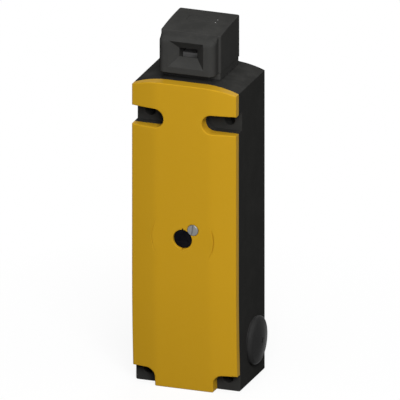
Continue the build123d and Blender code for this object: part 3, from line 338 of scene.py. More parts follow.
def lofted(sections: Iterable[Iterable[Space]]) -> Mesh:
    """Closed mesh through sections with the same number of points."""
    made = Mesh()
    rings = [made.ring(section) for section in sections]
    made.join(rings)
    made.faces += [rings[0], rings[-1]]
    return made


def lathe(profile: Sequence[Point], axis: Space, at: Space, steps: int = 96) -> Mesh:
    """Solid of revolution.

    Args:
        profile: Points of radius and height, from one end of the axis to the other.
        axis: Where its height points.
        at: Where its height is zero.
        steps: Divisions round the axis.

    Returns:
        The closed mesh.
    """
    turns = [2 * math.pi * i / steps for i in range(steps)]
    rings = [[(radius * math.cos(t), radius * math.sin(t), height) for t in turns]
             for radius, height in profile]
    return lofted(rings).turned(axis, at)


def prism(loop: Sequence[Point], front: float, back: float) -> Mesh:
    """Closed mesh with a section in X and Z, between two places along Y."""
    return lofted([(x, y, z) for x, z in loop] for y in (front, back))


def bar(low: Space, high: Space) -> Mesh:
    """Straight cutter between two corners."""
    (left, front, bottom), (right, back, top) = low, high
    section = ((left, front), (right, front), (right, back), (left, back))
    return lofted([(x, y, z) for x, y in section] for z in (bottom, top))


def carve(obj: Object, cutters: Iterable[Mesh]) -> None:
    """Cuts closed meshes out of an object.

    Args:
        obj: The object, which gets the cut mesh.
        cutters: What is cut out, in order.
    """
    tools = [mesh.build(f"cutter_{i}") for i, mesh in enumerate(cutters)]
    for tool in tools:
        cut = obj.modifiers.new("cut", "BOOLEAN")
        cut.operation = "DIFFERENCE"
        cut.solver = "EXACT"
        cut.object = tool
    graph = bpy.context.evaluated_depsgraph_get()
    data = bpy.data.meshes.new_from_object(obj.evaluated_get(graph))
    obj.modifiers.clear()
    spare = [obj.data, *(tool.data for tool in tools)]
    obj.data = data
    for tool in tools:
        bpy.data.objects.remove(tool)
    for old in spare:
        bpy.data.meshes.remove(old)
    soften(data)


def cap(outline: Loop, features: Sequence[Loop], spacing: float) -> tuple[Loop, list[list[int]]]:
    """Triangles that fill a loop, with points spread evenly inside it.

    Args:
        outline: The closed loop to fill.
        features: Closed loops inside it that the triangles have to follow.
        spacing: Distance between the points inside.

    Returns:
        The points, the outline's first, and the triangles.
    """
    points: Loop = []
    edges = []
    for loop in (outline, *features):
        start = len(points)
        points += loop
        edges += [(start + i, start + (i + 1) % len(loop)) for i in range(len(loop))]
    taken = np.array(points, float)
    low, high = taken.min(0), taken.max(0)
    columns = [np.linspace(low[k], high[k], max(3, round((high[k] - low[k]) / spacing) + 1))[1:-1]
               for k in (0, 1)]
    grid = np.array([(x, y) for x in columns[0] for y in columns[1]])
    grid = grid[inside(grid, outline)]
    gaps = np.sqrt(((grid[:, None, :] - taken[None, :, :]) ** 2).sum(2)).min(1)
    crowded = 0.45
    points += [tuple(p) for p in grid[gaps > spacing * crowded].tolist()]
    vertices, _, triangles, *_ = delaunay_2d_cdt([Vector(p) for p in points], edges, [], 0, 1e-7)
    found = np.array([(v.x, v.y) for v in vertices])
    kept = inside(found[np.array(triangles)].mean(1), outline)
    return [tuple(p) for p in found.tolist()], [list(t) for t, k in zip(triangles, kept) if k]


@dataclass
class Slab:
    """A closed moulding between two height fields, its upper and lower edges rounded.

    Attributes:
        outline: Counter-clockwise outline in the slab's own plane.
        top: Height of its upper face at a point.
        bottom: Height of its lower face at a point.
        top_round: Radius of the upper edge at a point.
        bottom_round: Radius of the lower edge.
        spacing: Distance between the points inside its faces.
        facing: Where its height points.
        features: Loops that the upper face has to follow.
    """

    outline: Loop
    top: Height
    bottom: Height
    top_round: Height
    bottom_round: float
    spacing: float
    facing: Facing = Facing.FRONT
    features: Sequence[Loop] = ()
    steps: ClassVar[int] = 5

    def place(self, u: float, v: float, height: float) -> Space:
        """Point of the frame at a point of the outline's plane and a height."""
        return (u, -height, v) if self.facing is Facing.FRONT else (u, v, height)

    def rounding(self, radius: Height, surface: Height, sign: float) -> list[tuple[Loop, list[float]]]:
        """Rings of one rounded edge, from its face to its wall.

        Args:
            radius: Radius of the edge at a point.
            surface: Height of the face.
            sign: 1 for the upper edge and -1 for the lower.

        Returns:
            Each ring's loop and the heights of its points.
        """
        radii = [radius(*p) for p in self.outline]
        rings = []
        for k in range(self.steps, -1, -1):
            turn = math.pi / 2 * k / self.steps
            loop = moved_in(self.outline, [r * (1 - math.cos(turn)) for r in radii])
            drop = [r * (1 - math.sin(turn)) for r in radii]
            rings.append((loop, [surface(*p) - sign * d for p, d in zip(loop, drop)]))
        return rings

    def build(self, name: str) -> Object:
        """Makes the slab's object.

        Args:
            name: The object's name.

        Returns:
            The new object.
        """
        made = Mesh()
        upper = self.rounding(self.top_round, self.top, 1)
        lower = self.rounding(level(self.bottom_round), self.bottom, -1)
        made.join([made.ring(self.place(*p, h) for p, h in zip(*edge)) for edge in upper + lower[::-1]])
        caps = ((upper[0][0], self.top, self.features), (lower[0][0], self.bottom, ()))
        for loop, surface, features in caps:
            points, triangles = cap(loop, features, self.spacing)
            placed = made.ring(self.place(*p, surface(*p)) for p in points)
            made.faces += [[placed[i] for i in t] for t in triangles]
        return made.build(name)


# Shader groups and finishes


class Shader:
    """Adds and wires nodes in one tree."""

    def __init__(self, tree: bpy.types.NodeTree) -> None:
        """Keeps the tree and empties it."""
        self.tree = tree
        tree.nodes.clear()

    def feed(self, node: Node, inputs: dict) -> Node:
        """Gives a node's inputs their values.

        Args:
            node: The node.
            inputs: Values or sockets by input name or number.

        Returns:
            The node.
        """
        for name, value in inputs.items():
            if isinstance(value, Socket):
                self.tree.links.new(value, node.inputs[name])
            else:
                node.inputs[name].default_value = value
        return node

    def node(self, kind: str, inputs: dict | None = None, **settings: object) -> Node:
        """Adds a node.

        Args:
            kind: Blender's node type.
            inputs: Values or sockets by input name or number.
            **settings: The node's own properties.

        Returns:
            The node.
        """
        made = self.tree.nodes.new(kind)
        for name, value in settings.items():
            setattr(made, name, value)
        return self.feed(made, inputs or {})

    def maths(self, operation: str, first: object, second: object) -> Socket:
        """Result of one Math node."""
        return self.node("ShaderNodeMath", {0: first, 1: second}, operation=operation).outputs[0]

    def times(self, first: object, second: object) -> Socket:
        """Product of two values."""
        return self.maths("MULTIPLY", first, second)

    def plus(self, first: object, second: object) -> Socket:
        """Sum of two values."""
        return self.maths("ADD", first, second)

    def ramp(self, value: object, low: float, high: float, at: Point = (0.0, 1.0)) -> Socket:
        """A value mapped from the range at to the range low to high."""
        inputs = {"Value": value, "From Min": at[0], "From Max": at[1], "To Min": low, "To Max": high}
        return self.node("ShaderNodeMapRange", inputs).outputs["Result"]

    def mix(self, factor: object, first: object, second: object, blend: str = "MIX") -> Socket:
        """Colour mixed from two."""
        inputs = {0: factor, 6: first, 7: second}
        return self.node("ShaderNodeMix", inputs, data_type="RGBA", blend_type=blend).outputs[2]

    def grey(self, value: object) -> Socket:
        """Grey of a brightness."""
        return self.node("ShaderNodeCombineColor", {0: value, 1: value, 2: value}).outputs[0]

    def noise(self, vector: object, scale: object, detail: float = 2.0, rough: float = 0.5) -> Socket:
        """Noise factor at a scale."""
        inputs = {"Vector": vector, "Scale": scale, "Detail": detail, "Roughness": rough}
        return self.node("ShaderNodeTexNoise", inputs).outputs[0]

    def blend(self, factor: Socket, first: Node, second: Node) -> Socket:
        """Light of one shader node blended into that of another."""
        inputs = {0: factor, 1: first.outputs[0], 2: second.outputs[0]}
        return self.node("ShaderNodeMixShader", inputs).outputs[0]

    def seen(self) -> Socket:
        """One for the rays that see the background: from the camera, a reflection or glass."""
        path = self.node("ShaderNodeLightPath").outputs
        direct = self.maths("MAXIMUM", path["Is Camera Ray"], path["Is Transmission Ray"])
        return self.maths("MAXIMUM", direct, path["Is Glossy Ray"])


class Group(Shader):
    """Node group that several finishes share, with a Vector and a Colour input and a Colour output."""

    kinds: ClassVar[dict[str, str]] = {
        "Vector": "NodeSocketVector", "Stretch": "NodeSocketVector", "Colour": "NodeSocketColor"}

    def __init__(self, name: str, inputs: dict[str, object], outputs: Sequence[str]) -> None:
        """Makes the empty group with its sockets.

        Args:
            name: The group's name.
            inputs: Default values of its further inputs.
            outputs: Names of its further outputs.
        """
        super().__init__(bpy.data.node_groups.new(name, "ShaderNodeTree"))
        inputs = {"Vector": None, "Colour": (0.5, 0.5, 0.5, 1.0), **inputs}
        sockets = [("INPUT", *item) for item in inputs.items()]
        sockets += [("OUTPUT", socket, None) for socket in ("Colour", *outputs)]
        for side, socket, value in sockets:
            kind = self.kinds.get(socket, "NodeSocketFloat")
            made = self.tree.interface.new_socket(name=socket, in_out=side, socket_type=kind)
            if value is not None:
                made.default_value = value
        self.given = self.node("NodeGroupInput").outputs
        self.put = self.node("NodeGroupOutput")


class GroupKit:
    """The shader groups that several finishes share, each built once."""

    def __init__(self) -> None:
        """Builds the groups."""
        self.mould = self._mould()
        self.machined = self._machined()
        self.dust = self._dust()

    @staticmethod
    def _mould() -> bpy.types.NodeTree:
        """Spark-eroded mould texture: fine pits, slow mottling and flow streaks."""
        g = Group("mould_texture", {"Grain Scale": 2600.0, "Roughness": 0.5, "Mottle": 0.06},
                  ("Roughness", "Height"))
        vector, scale = g.given["Vector"], g.given["Grain Scale"]
        pits = g.node("ShaderNodeTexVoronoi", {"Vector": vector, "Scale": scale}).outputs["Distance"]
        fine = g.noise(vector, g.times(scale, 1.9), 3.0, 0.6)
        slow = g.noise(vector, 38.0, 3.0)
        flow = g.node("ShaderNodeMapping", {"Vector": vector, "Scale": (55.0, 55.0, 9.0)}).outputs[0]
        uneven = g.maths("SUBTRACT", g.plus(slow, g.noise(flow, 1.0)), 1.0)
        mottle = g.times(uneven, g.given["Mottle"])
        speck = g.times(g.maths("SUBTRACT", fine, 0.5), 0.10)
        tone = g.grey(g.plus(g.plus(mottle, speck), 1.0))
        wander = g.times(g.maths("SUBTRACT", slow, 0.5), 0.12)
        g.feed(g.put, {
            "Colour": g.mix(1.0, g.given["Colour"], tone, "MULTIPLY"),
            "Roughness": g.plus(g.given["Roughness"], wander),
            "Height": g.plus(g.times(pits, 0.6), g.times(fine, 0.6))})
        return g.tree

    @staticmethod
    def _machined() -> bpy.types.NodeTree:
        """Tool marks of metal: lines along one axis, with fine scratches and tarnish."""
        g = Group("tool_marks", {"Stretch": (1.0, 1.0, 0.05), "Roughness": 0.35, "Tarnish": 0.15},
                  ("Roughness", "Height"))
        vector = g.given["Vector"]
        drawn = g.node("ShaderNodeVectorMath", {0: vector, 1: g.given["Stretch"]}, operation="MULTIPLY")
        lines = g.noise(drawn.outputs[0], 4200.0, 4.0, 0.65)
        cloud = g.ramp(g.noise(vector, 260.0, 4.0, 0.6), 0.0, 1.0, (0.45, 0.75))
        dull = g.times(cloud, g.given["Tarnish"])
        tint = g.mix(dull, g.given["Colour"], (0.20, 0.17, 0.13, 1.0))
        grit = g.plus(g.ramp(lines, -0.08, 0.10), g.times(dull, 0.5))
        g.feed(g.put, {"Colour": g.mix(1.0, tint, g.grey(g.ramp(lines, 0.86, 1.12)), "MULTIPLY"),
                       "Roughness": g.plus(g.given["Roughness"], grit), "Height": lines})
        return g.tree

    @staticmethod
    def _dust() -> bpy.types.NodeTree:
        """Pale dust and faint hand marks that settle on upward faces."""
        g = Group("settled_dust", {"Amount": 0.05}, ("Mask",))
        normal = g.node("ShaderNodeNewGeometry").outputs["Normal"]
        up = g.ramp(g.node("ShaderNodeSeparateXYZ", {0: normal}).outputs[2], 0.35, 1.0)
        patch = g.ramp(g.noise(g.given["Vector"], 95.0, 5.0, 0.7), 0.0, 1.0, (0.42, 0.78))
        grit = g.ramp(g.noise(g.given["Vector"], 1500.0), 0.5, 1.0)
        amount = g.times(up, g.given["Amount"])
        mask = g.times(g.times(patch, grit), amount)
        g.feed(g.put, {"Colour": g.mix(mask, g.given["Colour"], (0.55, 0.53, 0.50, 1.0)), "Mask": mask})
        return g.tree


@dataclass(frozen=True)
class Finish:
    """What every finish has: the record's slot, a linear base colour and a roughness."""

    slot: str
    colour: Colour
    roughness: float

    @property
    def rgba(self) -> tuple[float, float, float, float]:
        """The colour with full alpha."""
        return (*self.colour, 1.0)

    def material(self, groups: GroupKit) -> bpy.types.Material:
        """Makes the finish's material.

        Args:
            groups: The shared shader groups.

        Returns:
            The material, named after the slot.
        """
        made = bpy.data.materials.new(self.slot)
        made.use_nodes = True
        shader = Shader(made.node_tree)
        place = shader.node("ShaderNodeTexCoord").outputs["Object"]
        inputs, height, depth = self.surface(shader, place, groups)
        bump = shader.node("ShaderNodeBump", {"Height": height, "Distance": depth, "Strength": 1.0})
        surface = shader.node("ShaderNodeBsdfPrincipled", {**inputs, "Normal": bump.outputs[0]})
        shader.node("ShaderNodeOutputMaterial", {"Surface": surface.outputs[0]})
        return made

    def surface(self, shader: Shader, place: Socket, groups: GroupKit) -> Surface:
        """The inputs of the surface shader, which each kind of finish makes in its own way.

        Args:
            shader: The material's nodes.
            place: Where on the object a point lies.
            groups: The shared shader groups.

        Returns:
            The inputs by name, the height of the relief, and its depth in metres.
        """
        raise NotImplementedError


@dataclass(frozen=True)
class Moulded(Finish):
    """Injection-moulded plastic or rubber with its mould's texture."""

    grain_scale: float = 2600.0
    grain_depth: float = 0.000012
    mottle: float = 0.05
    dust: float = 0.04
    gloss: float = 0.5

    def surface(self, shader: Shader, place: Socket, groups: GroupKit) -> Surface:
        """Mould texture, then settled dust."""
        values = {"Vector": place, "Colour": self.rgba, "Grain Scale": self.grain_scale,
                  "Roughness": self.roughness, "Mottle": self.mottle}
        grain = shader.node("ShaderNodeGroup", values, node_tree=groups.mould).outputs
        values = {"Vector": place, "Colour": grain["Colour"], "Amount": self.dust}
        dust = shader.node("ShaderNodeGroup", values, node_tree=groups.dust).outputs
        rough = shader.plus(grain["Roughness"], dust["Mask"])
        inputs = {"Base Color": dust["Colour"], "Roughness": rough, "Specular IOR Level": self.gloss}
        return inputs, grain["Height"], self.grain_depth


@dataclass(frozen=True)
class Metal(Finish):
    """Bare or plated metal with the marks of how it was made."""

    grain: Grain = Grain.TURNED
    tarnish: float = 0.12
    metallic: float = 1.0
    depth: float = 0.000004

    def surface(self, shader: Shader, place: Socket, groups: GroupKit) -> Surface:
        """Tool marks."""
        values = {"Vector": place, "Colour": self.rgba, "Stretch": self.grain.value,
                  "Roughness": self.roughness, "Tarnish": self.tarnish}
        marks = shader.node("ShaderNodeGroup", values, node_tree=groups.machined).outputs
        inputs = {"Base Color": marks["Colour"], "Roughness": marks["Roughness"],
                  "Metallic": self.metallic}
        return inputs, marks["Height"], self.depth


@dataclass(frozen=True)
class Wound(Finish):
    """Enamelled wire wound side by side round an axis along X."""

    wire: float = 0.00045
    shade: float = 0.35
    wander: float = 0.08

    def surface(self, shader: Shader, place: Socket, groups: GroupKit) -> Surface:
        """A band for each turn of wire, with painted shade darkening the wire between the turns, and
        raised as a round wire is.
        """
        values = {"Vector": place, "Scale": 1.0 / (self.wire * 20 / math.pi * 2), "Distortion": 0.4}
        wave = shader.node("ShaderNodeTexWave", values, wave_type="BANDS", bands_direction="X")
        turns = wave.outputs["Fac"]
        # painted shade: the wire's colour is darkened by the shade factor between the turns, where a
        # round wire is shaded
        turn_gap_shade = (*[c * self.shade for c in self.colour], 1.0)
        smooth, dull = self.roughness - self.wander, self.roughness + self.wander
        rough = shader.ramp(shader.noise(place, 300.0), smooth, dull)
        inputs = {"Base Color": shader.mix(turns, turn_gap_shade, self.rgba), "Roughness": rough,
                  "Coat Weight": 0.4}
        return inputs, turns, self.wire * 0.4


FINISHES: tuple[Finish, ...] = (
    Moulded("black_housing", (0.0285, 0.0285, 0.0272), 0.75, gloss=0.0),
    Moulded("black_head", (0.0375, 0.0375, 0.036), 0.75, gloss=0.0),
    Moulded("yellow_cover", (0.480, 0.269, 0.0125), 0.46, grain_depth=0.000006, mottle=0.025, dust=0.01,
            gloss=0.03),
    Moulded("gloss_plug", (0.024, 0.024, 0.024), 0.28, grain_scale=900.0, grain_depth=0.000002,
            mottle=0.03, dust=0.02, gloss=0.006),
    Moulded("black_release", (0.0035, 0.0035, 0.0055), 0.6, gloss=0.01),
    Moulded("seal_rubber", (0.012, 0.012, 0.012), 0.72, grain_scale=1800.0, gloss=0.2),
    Metal("screw_steel", (0.225, 0.225, 0.22), 0.42),
    Metal("turned_steel", (0.60, 0.60, 0.60), 0.28, tarnish=0.06),
    Metal("frame_steel", (0.45, 0.45, 0.44), 0.40, Grain.ROLLED),
    Metal("soft_iron", (0.30, 0.30, 0.31), 0.46, Grain.ROLLED, tarnish=0.25),
    Metal("cam_zinc", (0.14, 0.14, 0.14), 0.52, Grain.CAST, depth=0.000010, metallic=0.7),
    Metal("spring_wire", (0.50, 0.50, 0.50), 0.32, tarnish=0.10),
    Metal("guide_brass", (0.60, 0.43, 0.16), 0.30, tarnish=0.18),
    Metal("contact_silver", (0.70, 0.68, 0.64), 0.26, Grain.ROLLED, tarnish=0.15),
    Wound("coil_wire", (0.42, 0.13, 0.03), 0.30),
    Moulded("natural_nylon", (0.62, 0.60, 0.54), 0.42, mottle=0.03),
    Moulded("red_nylon", (0.42, 0.03, 0.02), 0.40, mottle=0.04),
    Moulded("grey_nylon", (0.16, 0.17, 0.18), 0.48),
)


class Wardrobe:
    """Makes each finish's material once and dresses pieces in it."""

    def __init__(self) -> None:
        """Builds the shared groups and every material."""
        groups = GroupKit()
        self.materials = {finish.slot: finish.material(groups) for finish in FINISHES}

    def dress(self, obj: Object, slot: str) -> None:
        """Gives an object one finish over all its faces."""
        obj.data.materials.clear()
        obj.data.materials.append(self.materials[slot])

    def piece(self, shape: Mesh | Slab, name: str, slot: str, *nodes: str, body: str = "body",
              cutters: Sequence[Mesh] = ()) -> None:
        """Makes a piece, sets it on its body and lets it stand for CAD nodes.

        Args:
            shape: Its mesh or slab, in place.
            name: Its name.
            slot: The record's material slot.
            *nodes: CAD nodes that it replaces.
            body: The CAD body that it rides on.
            cutters: What is cut out of it, in order.
        """
        obj = shape.build(name)
        if cutters:
            carve(obj, cutters)
        self.dress(obj, slot)
        flat_first = obj.modifiers.new("flat_faces_first", "WEIGHTED_NORMAL")
        flat_first.keep_sharp = True
        flat_first.weight = FLAT_WEIGHT
        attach(obj, body)
        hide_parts(*nodes)
        LOG.info("piece %s: %d faces, %s, on %s", obj.name, len(obj.data.polygons), slot, body)


# Sub-assemblies


@dataclass
class BodyShape:
    """Outlines, surfaces and places that the sub-assemblies of the body share."""

    half_width: float = 27.0
    height: float = 158.0
    corner: float = 0.8
    top_flat: float = 9.5
    arch_radius: float = 49.0
    back: float = 21.75
    seam: float = -15.55
    tuck: float = 2.3
    tuck_height: float = 60.0
    slot_z: float = 139.2
    slot_half: float = 4.8
    slot_inner: float = 10.0
    notch_inner: float = 15.07
    notch_height: float = 9.0
    notch_radius: float = 4.5
    foot_radius: float = 0.6
    release: Point = (0.0, 78.4)
    screw: Point = (5.3, 83.6)
    entry: Point = (6.25, 20.4)

    def tucked(self, depth: float, z: float) -> float:
        """Y at a height of the surface that is at depth on the straight upper part."""
        if z >= self.tuck_height:
            return depth
        tuck_radius = (self.tuck_height ** 2 + self.tuck ** 2) / (2 * self.tuck)
        centre = self.seam + tuck_radius
        return centre - math.sqrt((centre - depth) ** 2 - (self.tuck_height - z) ** 2)

    def seam_height(self, x: float, z: float) -> float:
        """Height of the face where the cover lies on the housing."""
        return -self.tucked(self.seam, z)

    def arch(self) -> Loop:
        """The arched top from the right shoulder to the left one."""
        low = math.degrees(math.acos((self.half_width - self.top_flat) / self.arch_radius))
        centre = (self.top_flat, self.height - self.arch_radius)
        right = arc(centre, self.arch_radius, low, 90.0, 1.5)
        return right + mirrored(right)

    def outline(self) -> Loop:
        """The whole body's outline, its bottom corners slightly rounded."""
        radius, across = self.corner, self.half_width - self.corner
        loop = arc((-across, radius), radius, 180.0, 270.0, 0.3)
        loop += arc((across, radius), radius, 270.0, 360.0, 0.3)
        return dense(loop + self.arch(), 3.0)

    def slot(self, reach: float) -> Loop:
        """Right access slot out to a reach, with its round inner end."""
        end = arc((self.slot_inner + self.slot_half, self.slot_z), self.slot_half, 90.0, 270.0, 0.6)
        return [*end, (reach, self.slot_z - self.slot_half), (reach, self.slot_z + self.slot_half)]

    def notch(self, reach: float) -> Loop:
        """Right access notch out to a reach, with its rounded inner corner."""
        radius, high = self.notch_radius, self.notch_height
        corner = arc((self.notch_inner + radius, high - radius), radius, 90.0, 180.0, 0.5)
        return [(self.notch_inner, -PAST), (reach, -PAST), (reach, high), *corner]

    def cover_outline(self, foot: float) -> Loop:
        """Outline of the cover: the body's less the four access openings.

        Args:
            foot: Radius of the corners of its foot.

        Returns:
            The counter-clockwise loop.
        """
        edge, corner, half, step = self.half_width, self.notch_radius, self.slot_half, 0.4
        right = arc((self.notch_inner - foot, foot), foot, 270.0, 360.0, step)
        right += arc((self.notch_inner + corner, self.notch_height - corner), corner, 180.0, 90.0, step)
        right += [(edge, self.notch_height), (edge, self.slot_z - half)]
        right += arc((self.slot_inner + half, self.slot_z), half, 270.0, 90.0, step)
        right += [(edge, self.slot_z + half)]
        return right + self.arch() + mirrored(right)


@dataclass
class Cover:
    """Yellow moulded cover with its round land and the recesses of release and screw."""

    shape: BodyShape
    thickness: float = 6.2
    flat_half: float = 12.0
    bend_end: float = 16.5
    bend_slope: float = 0.16
    edge_slope: float = 0.20
    edge_round: float = 0.5
    back_round: float = 0.15
    land_radius: float = 15.85
    land_round: float = 0.15
    groove_width: float = 0.5
    groove_depth: float = 0.45
    recess_radius: float = 4.9
    recess_depth: float = 3.4
    recess_flare: float = 0.25
    shaft_radius: float = 2.6
    screw_recess: float = 2.95
    screw_depth: float = 1.0
    notch_half: float = 0.45
    notch_depth: float = 2.0
    notch_rise: float = 0.75

    def crown(self, x: float) -> float:
        """Y of the straight part's front: flat, then a soft bend, then falling a little more steeply."""
        across = abs(x)
        bend = self.bend_end - self.flat_half
        share = min(1.0, max(0.0, (across - self.flat_half) / bend))
        fallen = self.bend_slope * bend * (share ** 3 - share ** 4 / 2)
        if across > self.bend_end:
            past = across - self.bend_end
            steeper = (self.edge_slope - self.bend_slope) / (self.shape.half_width - self.bend_end)
            fallen += self.bend_slope * past + steeper * past ** 2 / 2
        return self.shape.seam - self.thickness + fallen

    def top(self, x: float, z: float) -> float:
        """Height of the front, the round land and the groove round it included."""
        front = -self.shape.tucked(self.crown(x), z)
        away = math.hypot(x, z - self.shape.release[1])
        land = self.thickness - self.shape.seam
        if away > self.land_radius + 1e-6:
            share = max(0.0, 1 - (away - self.land_radius) / self.groove_width)
            return front - share * min(self.groove_depth, 2 * max(0.0, land - front))
        over = max(0.0, away - (self.land_radius - self.land_round)) / self.land_round
        return max(front, land - self.land_round * (1 - math.sqrt(max(0.0, 1 - over ** 2))))

    def recess(self, at: Point, radius: float, rest: Loop) -> Mesh:
        """Round cutter with a flared mouth.

        Args:
            at: Its centre.
            radius: Its radius behind the mouth.
            rest: The rest of its profile.

        Returns:
            The cutter.
        """
        flare, soft = self.recess_flare, self.recess_flare * 0.3
        mouth = [(0.0, -PAST), (radius + PAST + flare, -PAST), (radius + flare, 0.0),
                 (radius + soft, soft), (radius, flare)]
        return lathe([*mouth, *rest], BACKWARD, (at[0], self.shape.seam - self.thickness, at[1]))

    def build(self, wardrobe: Wardrobe) -> None:
        """Makes the cover."""
        shape, through = self.shape, self.thickness + 2 * PAST
        shares = (0.0, 0.35, 0.65, 0.85, 0.97, 1.0)
        radii = [self.land_radius - self.land_round * (1 - s) for s in shares]
        radii += [self.land_radius + 0.02, self.land_radius + self.groove_width]
        rings = [arc(shape.release, radius, 0.0, 360.0, 0.6)[:-1] for radius in radii]
        slab = Slab(dense(shape.cover_outline(shape.foot_radius), 1.6), self.top, shape.seam_height,
                    level(self.edge_round), self.back_round, spacing=1.7, features=rings)
        disc = self.recess(shape.release, self.recess_radius, [
            (self.recess_radius, self.recess_depth), (self.shaft_radius, self.recess_depth),
            (self.shaft_radius, through), (0.0, through)])
        screw = self.recess(shape.screw, self.screw_recess, [
            (self.screw_recess, self.screw_depth), (0.0, self.screw_depth)])
        half, reach = self.notch_half, self.recess_radius + self.notch_rise
        front, middle = shape.seam - self.thickness, shape.release[1]
        floor = front + self.notch_depth
        notches = [bar((-half, front - PAST, middle + low), (half, floor, middle + high))
                   for low, high in ((0.0, reach), (-reach, 0.0))]
        wardrobe.piece(slab, "front_cover_moulding", "yellow_cover", "front_cover",
                       cutters=[disc, screw, *notches])


@dataclass
class Housing:
    """Deep black box with its ledges, mounting holes and cable entries."""

    shape: BodyShape
    wall: float = 3.0
    overlap: float = 0.1
    front_round: float = 0.25
    back_round: float = 0.6
    ledges: tuple[Point, Point] = ((6.4, 2.4), (139.2, 4.5))  # height of holes, depth of ledge
    before: float = 3.0  # how far before the seam the openings' cutters start
    hole_x: float = 20.5
    hole_radius: float = 2.65
    hole_chamfer: float = 0.35
    entry_radius: float = 9.2
    entry_mouth: float = 11.36
    cone_start: float = 0.4
    thread_pitch: float = 1.5
    thread_depth: float = 0.75
    thread_margin: float = 0.5
    thread_runout: float = 0.3
    boss_radius: float = 12.5
    boss_length: float = 9.0
    boss_chamfer: float = 0.4

    def cavity(self) -> Mesh:
        """Hollow behind the cover, with columns left round the mounting holes."""
        loop, inset = self.shape.cover_outline(self.wall), self.wall - self.overlap
        reach = self.shape.half_width - inset + 1e-6
        inner = [p for p in moved_in(loop, [inset] * len(loop)) if abs(p[0]) <= reach]
        return prism(dense(inner, 6.0), self.shape.seam - self.before, self.shape.back - self.wall)

    def hole(self, x: float, z: float, ledge: float) -> Mesh:
        """Cutter of a mounting hole, from its ledge through the back, with both mouths chamfered."""
        start, radius, chamfer = self.shape.seam + ledge, self.hole_radius, self.hole_chamfer
        depth, mouth = self.shape.back - start, radius + chamfer + PAST
        profile = [(0.0, -PAST), (mouth, -PAST), (radius, chamfer), (radius, depth - chamfer),
                   (mouth, depth + PAST), (0.0, depth + PAST)]
        return lathe(profile, BACKWARD, (x, start, z), steps=48)

    def entry(self, depth: float, axis: Space, at: Space) -> Mesh:
        """Cutter of a threaded cable entry.

        Args:
            depth: How deep it goes.
            axis: Its direction into the housing.
            at: Its mouth.

        Returns:
            The cutter.
        """
        radius, mouth, pitch = self.entry_radius, self.entry_mouth, self.thread_pitch
        turns = int((depth - 2 * self.thread_margin) / pitch)
        rings = thread(radius, radius + self.thread_depth, self.thread_margin, pitch, turns)
        profile = [(0.0, -2 * PAST), (mouth, -2 * PAST), (mouth, -self.cone_start), *rings,
                   (radius, depth - self.thread_runout), (radius, depth + PAST), (0.0, depth + PAST)]
        return lathe(profile, axis, at)

    def build(self, wardrobe: Wardrobe) -> None:
        """Makes the housing and the threaded collar inside its bottom entry."""
        shape, front = self.shape, self.shape.seam - self.before
        slab = Slab(shape.outline(), shape.seam_height, level(-shape.back), level(self.front_round),
                    self.back_round, spacing=9.0)
        reach = shape.half_width + 1.5
        openings = tuple(zip((shape.slot(reach), shape.notch(reach)), self.ledges[::-1]))
        cutters = [self.cavity()]
        for hand in (list, mirrored):
            cutters += [prism(hand(loop), front, shape.seam + ledge) for loop, (_, ledge) in openings]
        for side in (-1, 1):
            cutters += [self.hole(side * self.hole_x, z, ledge) for z, ledge in self.ledges]
            mouth = (side * shape.half_width, *shape.entry)
            cutters.append(self.entry(self.wall + PAST, (-side, 0, 0), mouth))
        at = (0.0, shape.entry[0], 0.0)
        bottom = self.entry(self.boss_length + PAST, UPWARD, at)
        wardrobe.piece(slab, "housing_moulding", "black_housing", "housing", cutters=[*cutters, bottom])

        low, high = self.wall - self.overlap, self.boss_length
        radius, chamfer = self.boss_radius, self.boss_chamfer
        profile = [(0.0, low), (radius, low), (radius, high - chamfer), (radius - chamfer, high),
                   (0.0, high)]
        collar = lathe(profile, UPWARD, at)
        wardrobe.piece(collar, "bottom_entry_collar", "black_housing", cutters=[bottom])


